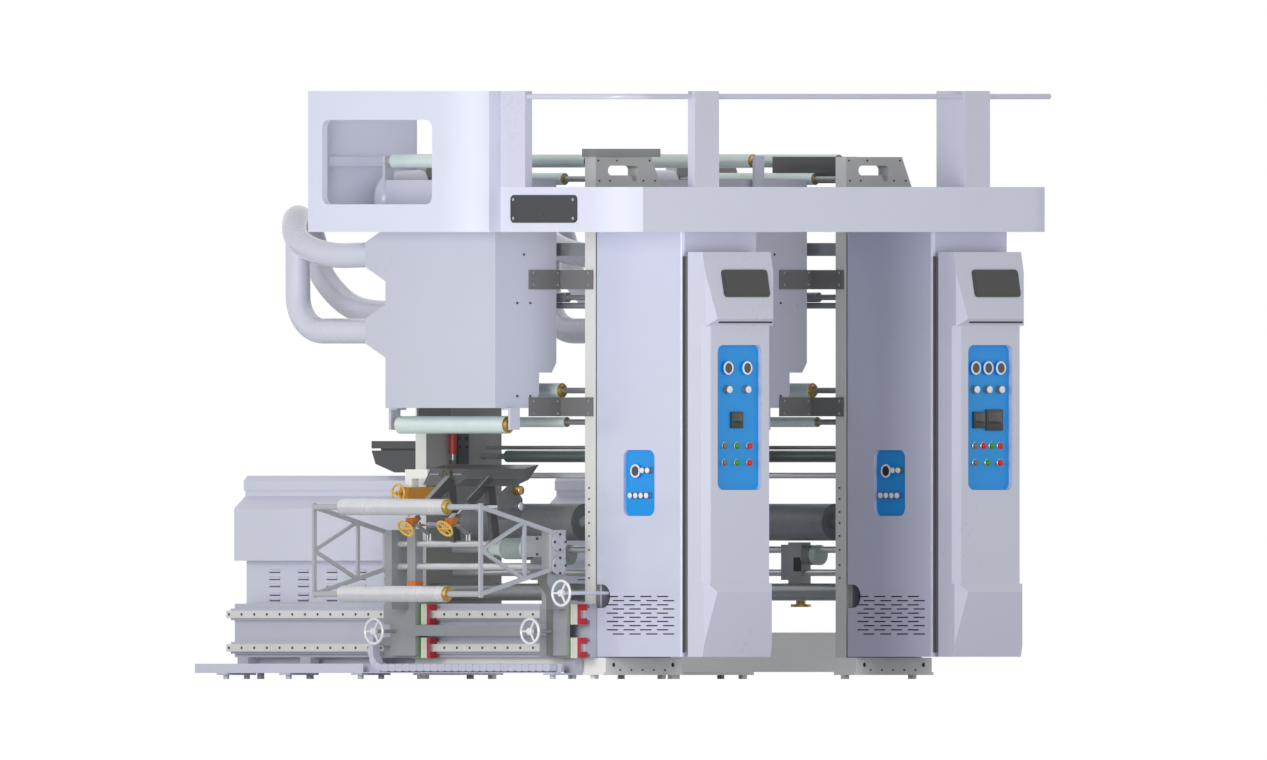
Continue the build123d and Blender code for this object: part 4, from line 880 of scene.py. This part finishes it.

# %% [markdown]
# The blade's cheeks catch a few bright highlights along their edges, and an olive disc sits on its
# beam. An edge mask in the blade's material would brighten every edge alike. Only a few edges shine on
# the real one, so thin pale bars of painted highlight lie on just those, two of them slanted with the cheek.

# %% Painted highlights and disc of the doctor blade
def slant(mesh, start, end, width, y_span):
    """Adds a flat bar between two points in x and z."""
    run = Vector((end[0] - start[0], end[1] - start[1])).normalized()
    side = Vector((-run.y, run.x)) * width / 2
    corners = []
    for y in y_span:
        for (x, z), sign in ((start, 1), (end, 1), (end, -1), (start, -1)):
            corners.append(mesh.verts.new(at(x + side.x * sign, y, z + side.y * sign)))
    for ring in ((0, 1, 2, 3), (4, 5, 6, 7), (0, 1, 5, 4), (1, 2, 6, 5), (2, 3, 7, 6), (3, 0, 4, 7)):
        mesh.faces.new([corners[index] for index in ring])


# Thin pale bars on a few edges: painted highlights.
mesh = bmesh.new()
for y_span in ((148, 184), (-184, -180)):
    slant(mesh, (-324, 1218), (-508, 1074), 5, y_span)
slab(mesh, (-266, 112, 1222), (-254, 184, 1233), 3)
slab(mesh, (-266, 300, 1222), (-254, 384, 1233), 3)
slab(mesh, (-330, -380, 1161), (-322, -180, 1165), 1)
piece("blade_painted_highlights", mesh, plate_grey, "carriage")
DISC = ((0, 14), (10, 14), (12, 9), (27, 9), (29, 12), (37, 12), (38, 8), (38, -14))
mesh = bmesh.new()
turned(mesh, DISC, at(-262, 236, 1226), UPSTREAM, 28)
piece("blade_disc", mesh, olive_paint, "carriage")

# %% [markdown]
# The handwheels have round rims, hubs and three spokes. CAD has them too, but plainer, because its
# wheels also serve the physics. A finer wheel over each plain one hides its facets. It rides on the
# wheel's own body, so it turns with it.

# %% Handwheels
rim_sides, spoke_turns = 10, (90, 210, 330)


def dress_wheel(name, middle, axis, fall, radius, thick, finish):
    """A rim, three spokes and a hub over one handwheel."""
    mesh = bmesh.new()
    place = at(*middle)
    angles = [step * tau / rim_sides for step in range(rim_sides + 1)]
    turned(mesh, [(radius + thick * cos(angle), thick * sin(angle)) for angle in angles], place, axis, 48)
    hub = radius * 0.29
    profile = ((0, hub), (hub * 0.5, hub), (hub * 0.6, hub * 0.7), (hub, hub * 0.5), (hub, -hub * 0.6))
    turned(mesh, profile, place, axis)
    axis, fall = Vector(axis).normalized(), Vector(fall).normalized()
    for turn in spoke_turns:
        out = fall * cos(radians(turn)) + axis.cross(fall) * -sin(radians(turn))
        turned(mesh, ((thick * 0.95, hub * 0.8), (thick * 0.72, radius - thick * 0.5)), place, out, 12)
    piece(f"{name}_dress", mesh, finish, name)


for name, middle in (("near_lock_wheel", (-363, -570, 286)), ("far_lock_wheel", (-363, 754, 286)),
                     ("port_wheel", (-393, -865, 515))):
    dress_wheel(name, middle, UPSTREAM, (0, 0, -1), 74, 8.5, white_paint)
dress_wheel("end_wheel", (-350, 562, 1114), UPSTREAM, (0, 0, -1), 53, 7, yellow_paint)
for name, side in (("near_blade_wheel", -1), ("far_blade_wheel", 1)):
    middle = (-681.1, side * screw_y, 902.7)
    dress_wheel(name, middle, (-394, 0, -307), (-307, 0, 394), 53, 7, yellow_paint)

# %% [markdown]
# Spindles pass through a round port in each operator cabinet, which is in shade inside. The port is
# open in CAD, so its walls would show the cabinet's pale paint in the light. A dark sheet of painted
# shade just inside the opening covers them: an arc of points, drawn out along x and closed at the back.

# %% Painted shade in the ports
port_edge, port_y, port_z, port_wide, port_high = -776, -818, 496.5, 67, 69
arc = [(port_edge, port_z - port_high)]
for step in range(13):
    turn = radians(270 - step * 15)
    arc.append((port_y + port_wide * cos(turn), port_z + port_high * sin(turn)))
arc.append((port_edge, port_z + port_high))
mesh = bmesh.new()
for unit, x0 in UNITS:
    front_ring = [mesh.verts.new(at(x0 + 1.5, y, z)) for y, z in arc]
    back_ring = [mesh.verts.new(at(x0 + 149, y, z)) for y, z in arc]
    for step in range(len(arc) - 1):
        mesh.faces.new((front_ring[step], front_ring[step + 1], back_ring[step + 1], back_ring[step]))
    mesh.faces.new(back_ring)
piece("port_painted_shade", mesh, screen_black)

# %% [markdown]
# The last fittings are painted shade in the recessed neck between cabinet and console, painted shade
# in the base's lifting holes, the bolts along its side, and the free end of the handrail. Each is a
# plain form that stands a little proud or a little in, because two faces in the same plane would flicker.

# %% Painted shade, base bolts and the handrail's end
mesh = bmesh.new()
for unit, x0 in UNITS:
    # A dark strip over the neck's face: painted shade in the recess between cabinet and console.
    slab(mesh, (x0 + 22.8, -1546, 158), (x0 + 24, -1501, 2537))
    slab(mesh, (x0 + 1, -1502, 158), (x0 + 24, -1500, 2537))
piece("console_neck_shade", mesh, bracket_grey)
HOLE_SHADE = ((0, 0), (13.6, 0), (13.6, -20))
# Dark discs just inside the lifting holes: painted shade.
mesh = bmesh.new()
for unit, x0 in UNITS:
    for x in (70, 570):
        turned(mesh, HOLE_SHADE, at(x0 + x, -846, 85), NEAR)
        turned(mesh, HOLE_SHADE, at(x0 + x, 766, 85), FAR)
piece("lifting_hole_shade", mesh, seal_rubber)
places = in_units([(x, -850, 54) for x in (120, 215, 310, 405, 500)])
bolts("base_bolts", places, NEAR, dark_steel, scale=0.9)
mesh = bmesh.new()
turned(mesh, ((16.5, 0), (16.5, 152), (13, 156), (0, 156)), at(2791, -1670, 3495), (1, 0, 0), 28)
piece("handrail_end", mesh, lavender)

# %% [markdown]
# Inside each unit the lifting column stands on an orange shoe and a gold foot, with a black switch
# block beside it. A red air cylinder with a bright rod works beside the guide plate. They share a CAD
# node with the column, so thin shells in their own colours go over them, as on the bars.

# %% Lifting gear and air cylinder
FAN_CAP = ((54.6, 0), (54.6, 16), (61, 17), (61, 58), (54, 66), (0, 66))
shoe, foot, switch, red, rod, fan = (bmesh.new() for _ in range(6))
for unit, x0 in UNITS:
    slab(shoe, (x0 + 213, -190, 508.5), (x0 + 267, -90, 546), 3)
    turned(foot, ((29, 60), (29, 17), (61, 16.5), (61, 0)), at(x0 + 240, -140, 432), UP, 32)
    slab(switch, (x0 + 199, -184, 646), (x0 + 197, -120, 730))
    barrel = ((9.6, -0.5), (22.8, -0.5), (22.8, 126.5), (9, 126.5))
    turned(red, barrel, at(x0 + 204, 650, 1350), UP)
    turned(rod, ((9.5, 0), (9.5, 36)), at(x0 + 204, 650, 1314), UP, 16)
    turned(fan, FAN_CAP, at(x0 + 240, -249, 744), NEAR, 32)
for name, mesh, finish in (("lift_shoes", shoe, orange_paint), ("lift_feet", foot, gold_ring),
                           ("lift_switches", switch, seal_rubber), ("air_cylinders", red, air_red),
                           ("air_rods", rod, bar_steel), ("lift_motor_caps", fan, motor_green)):
    piece(name, mesh, finish)

# %% [markdown]
# The floor catches the press's shadow, so that it stands and doesn't float. It is nearly white, because
# the background should be pale without extra light on the press. It lies 1 mm below the feet, so that
# the two never share a plane.

# %% Floor
floor_data = bmesh.new()
bmesh.ops.create_grid(floor_data, x_segments=1, y_segments=1, size=14)
floor_mesh = bpy.data.meshes.new("floor")
floor_data.to_mesh(floor_mesh)
floor_data.free()
floor = bpy.data.objects.new("floor", floor_mesh)
floor_finish = Finish("floor_pale")
floor_cloud = floor_finish.noise(0.6)
floor_finish.set(base_color=floor_finish.mix(floor_cloud, rgb(236, 236, 238), rgb(244, 244, 245)),
                 roughness=0.7 + 0.1 * floor_cloud)
floor_mesh.materials.append(floor_finish.material)
bpy.context.collection.objects.link(floor)
floor.location.z = -0.001
print("floor at z", floor.location.z)

# %% [markdown]
# The world is a lamp all round the press, which has to be weak, and also the background, which has to
# be white. Light Path tells the two apart: camera rays, and the rays that metal or glass sends on, see
# full strength, and the Mix node clamps their sum.

# %% World
FILL, WHITE = 0.42, 1.0
world = bpy.data.worlds.new("studio")
bpy.context.scene.world = world
world.use_nodes = True
sky = Nodes(world.node_tree)
camera_ray, glossy_ray, glass_ray = (sky.node("ShaderNodeLightPath", {}, {}, f"Is {kind} Ray")
                                     for kind in ("Camera", "Glossy", "Transmission"))
seen = camera_ray + glossy_ray + glass_ray
background = world.node_tree.nodes["Background"]
sky.feed(background.inputs["Strength"], sky.node("ShaderNodeMix", {}, {0: seen, 2: FILL, 3: WHITE}))
sky.feed(background.inputs["Color"], (1, 1, 1, 1))
print("world lights at", FILL, "and is seen at", WHITE)

# %% [markdown]
# The lamps are those of a plain studio. A broad soft one from the camera's left makes the upstream
# faces the brightest, a weaker one comes from the front, and a faint one from above. One strong sun
# would give hard shadows that the photograph doesn't have.

# %% Lamps
LAMPS = (("key", (-11, -3.5, 2), 5, 570), ("front", (-1, -11, 1.4), 5, 225), ("top", (0, 0, 9), 6, 60))
aim = Vector((0, 0, 1.8))
for name, place, size, power in LAMPS:
    light = bpy.data.lights.new(name, "AREA")
    light.size = size
    light.energy = power
    lamp = bpy.data.objects.new(name, light)
    lamp.location = place
    lamp.rotation_euler = (aim - Vector(place)).to_track_quat("-Z", "Y").to_euler()
    bpy.context.collection.objects.link(lamp)
print("lamps", [(name, power) for name, place, size, power in LAMPS])

# %% [markdown]
# The photograph looks along +x and +y at once, level and with no perspective, at six millimetres to a
# pixel of its 1267 x 760 frame. A long lens could come close, but an orthographic camera is exact. The
# layout's origin is at column 505.6, and the floor at row 679.

# %% Camera
pixel, image_width, image_height = 0.006, 1267, 760
origin_column, floor_row, columns_per_mm = 505.6, 679, 0.11785
camera_distance = 14
centre_run = (image_width / 2 - origin_column) / columns_per_mm
half_run = (at(centre_run, 0, 0).x - at(0, 0, 0).y) / 2
target = Vector((half_run, -half_run, (floor_row - image_height / 2) * pixel))
look = Vector((1, 1, 0)).normalized()
view_data = bpy.data.cameras.new("camera")
view_data.type = "ORTHO"
view_data.ortho_scale = image_width * pixel
view_data.clip_end = 60
camera = bpy.data.objects.new("camera", view_data)
camera.location = target - look * camera_distance
camera.rotation_euler = look.to_track_quat("-Z", "Y").to_euler()
bpy.context.collection.objects.link(camera)
bpy.context.scene.camera = camera
bpy.context.scene.view_settings.view_transform = "Standard"
print("camera at", [round(value, 3) for value in camera.location])
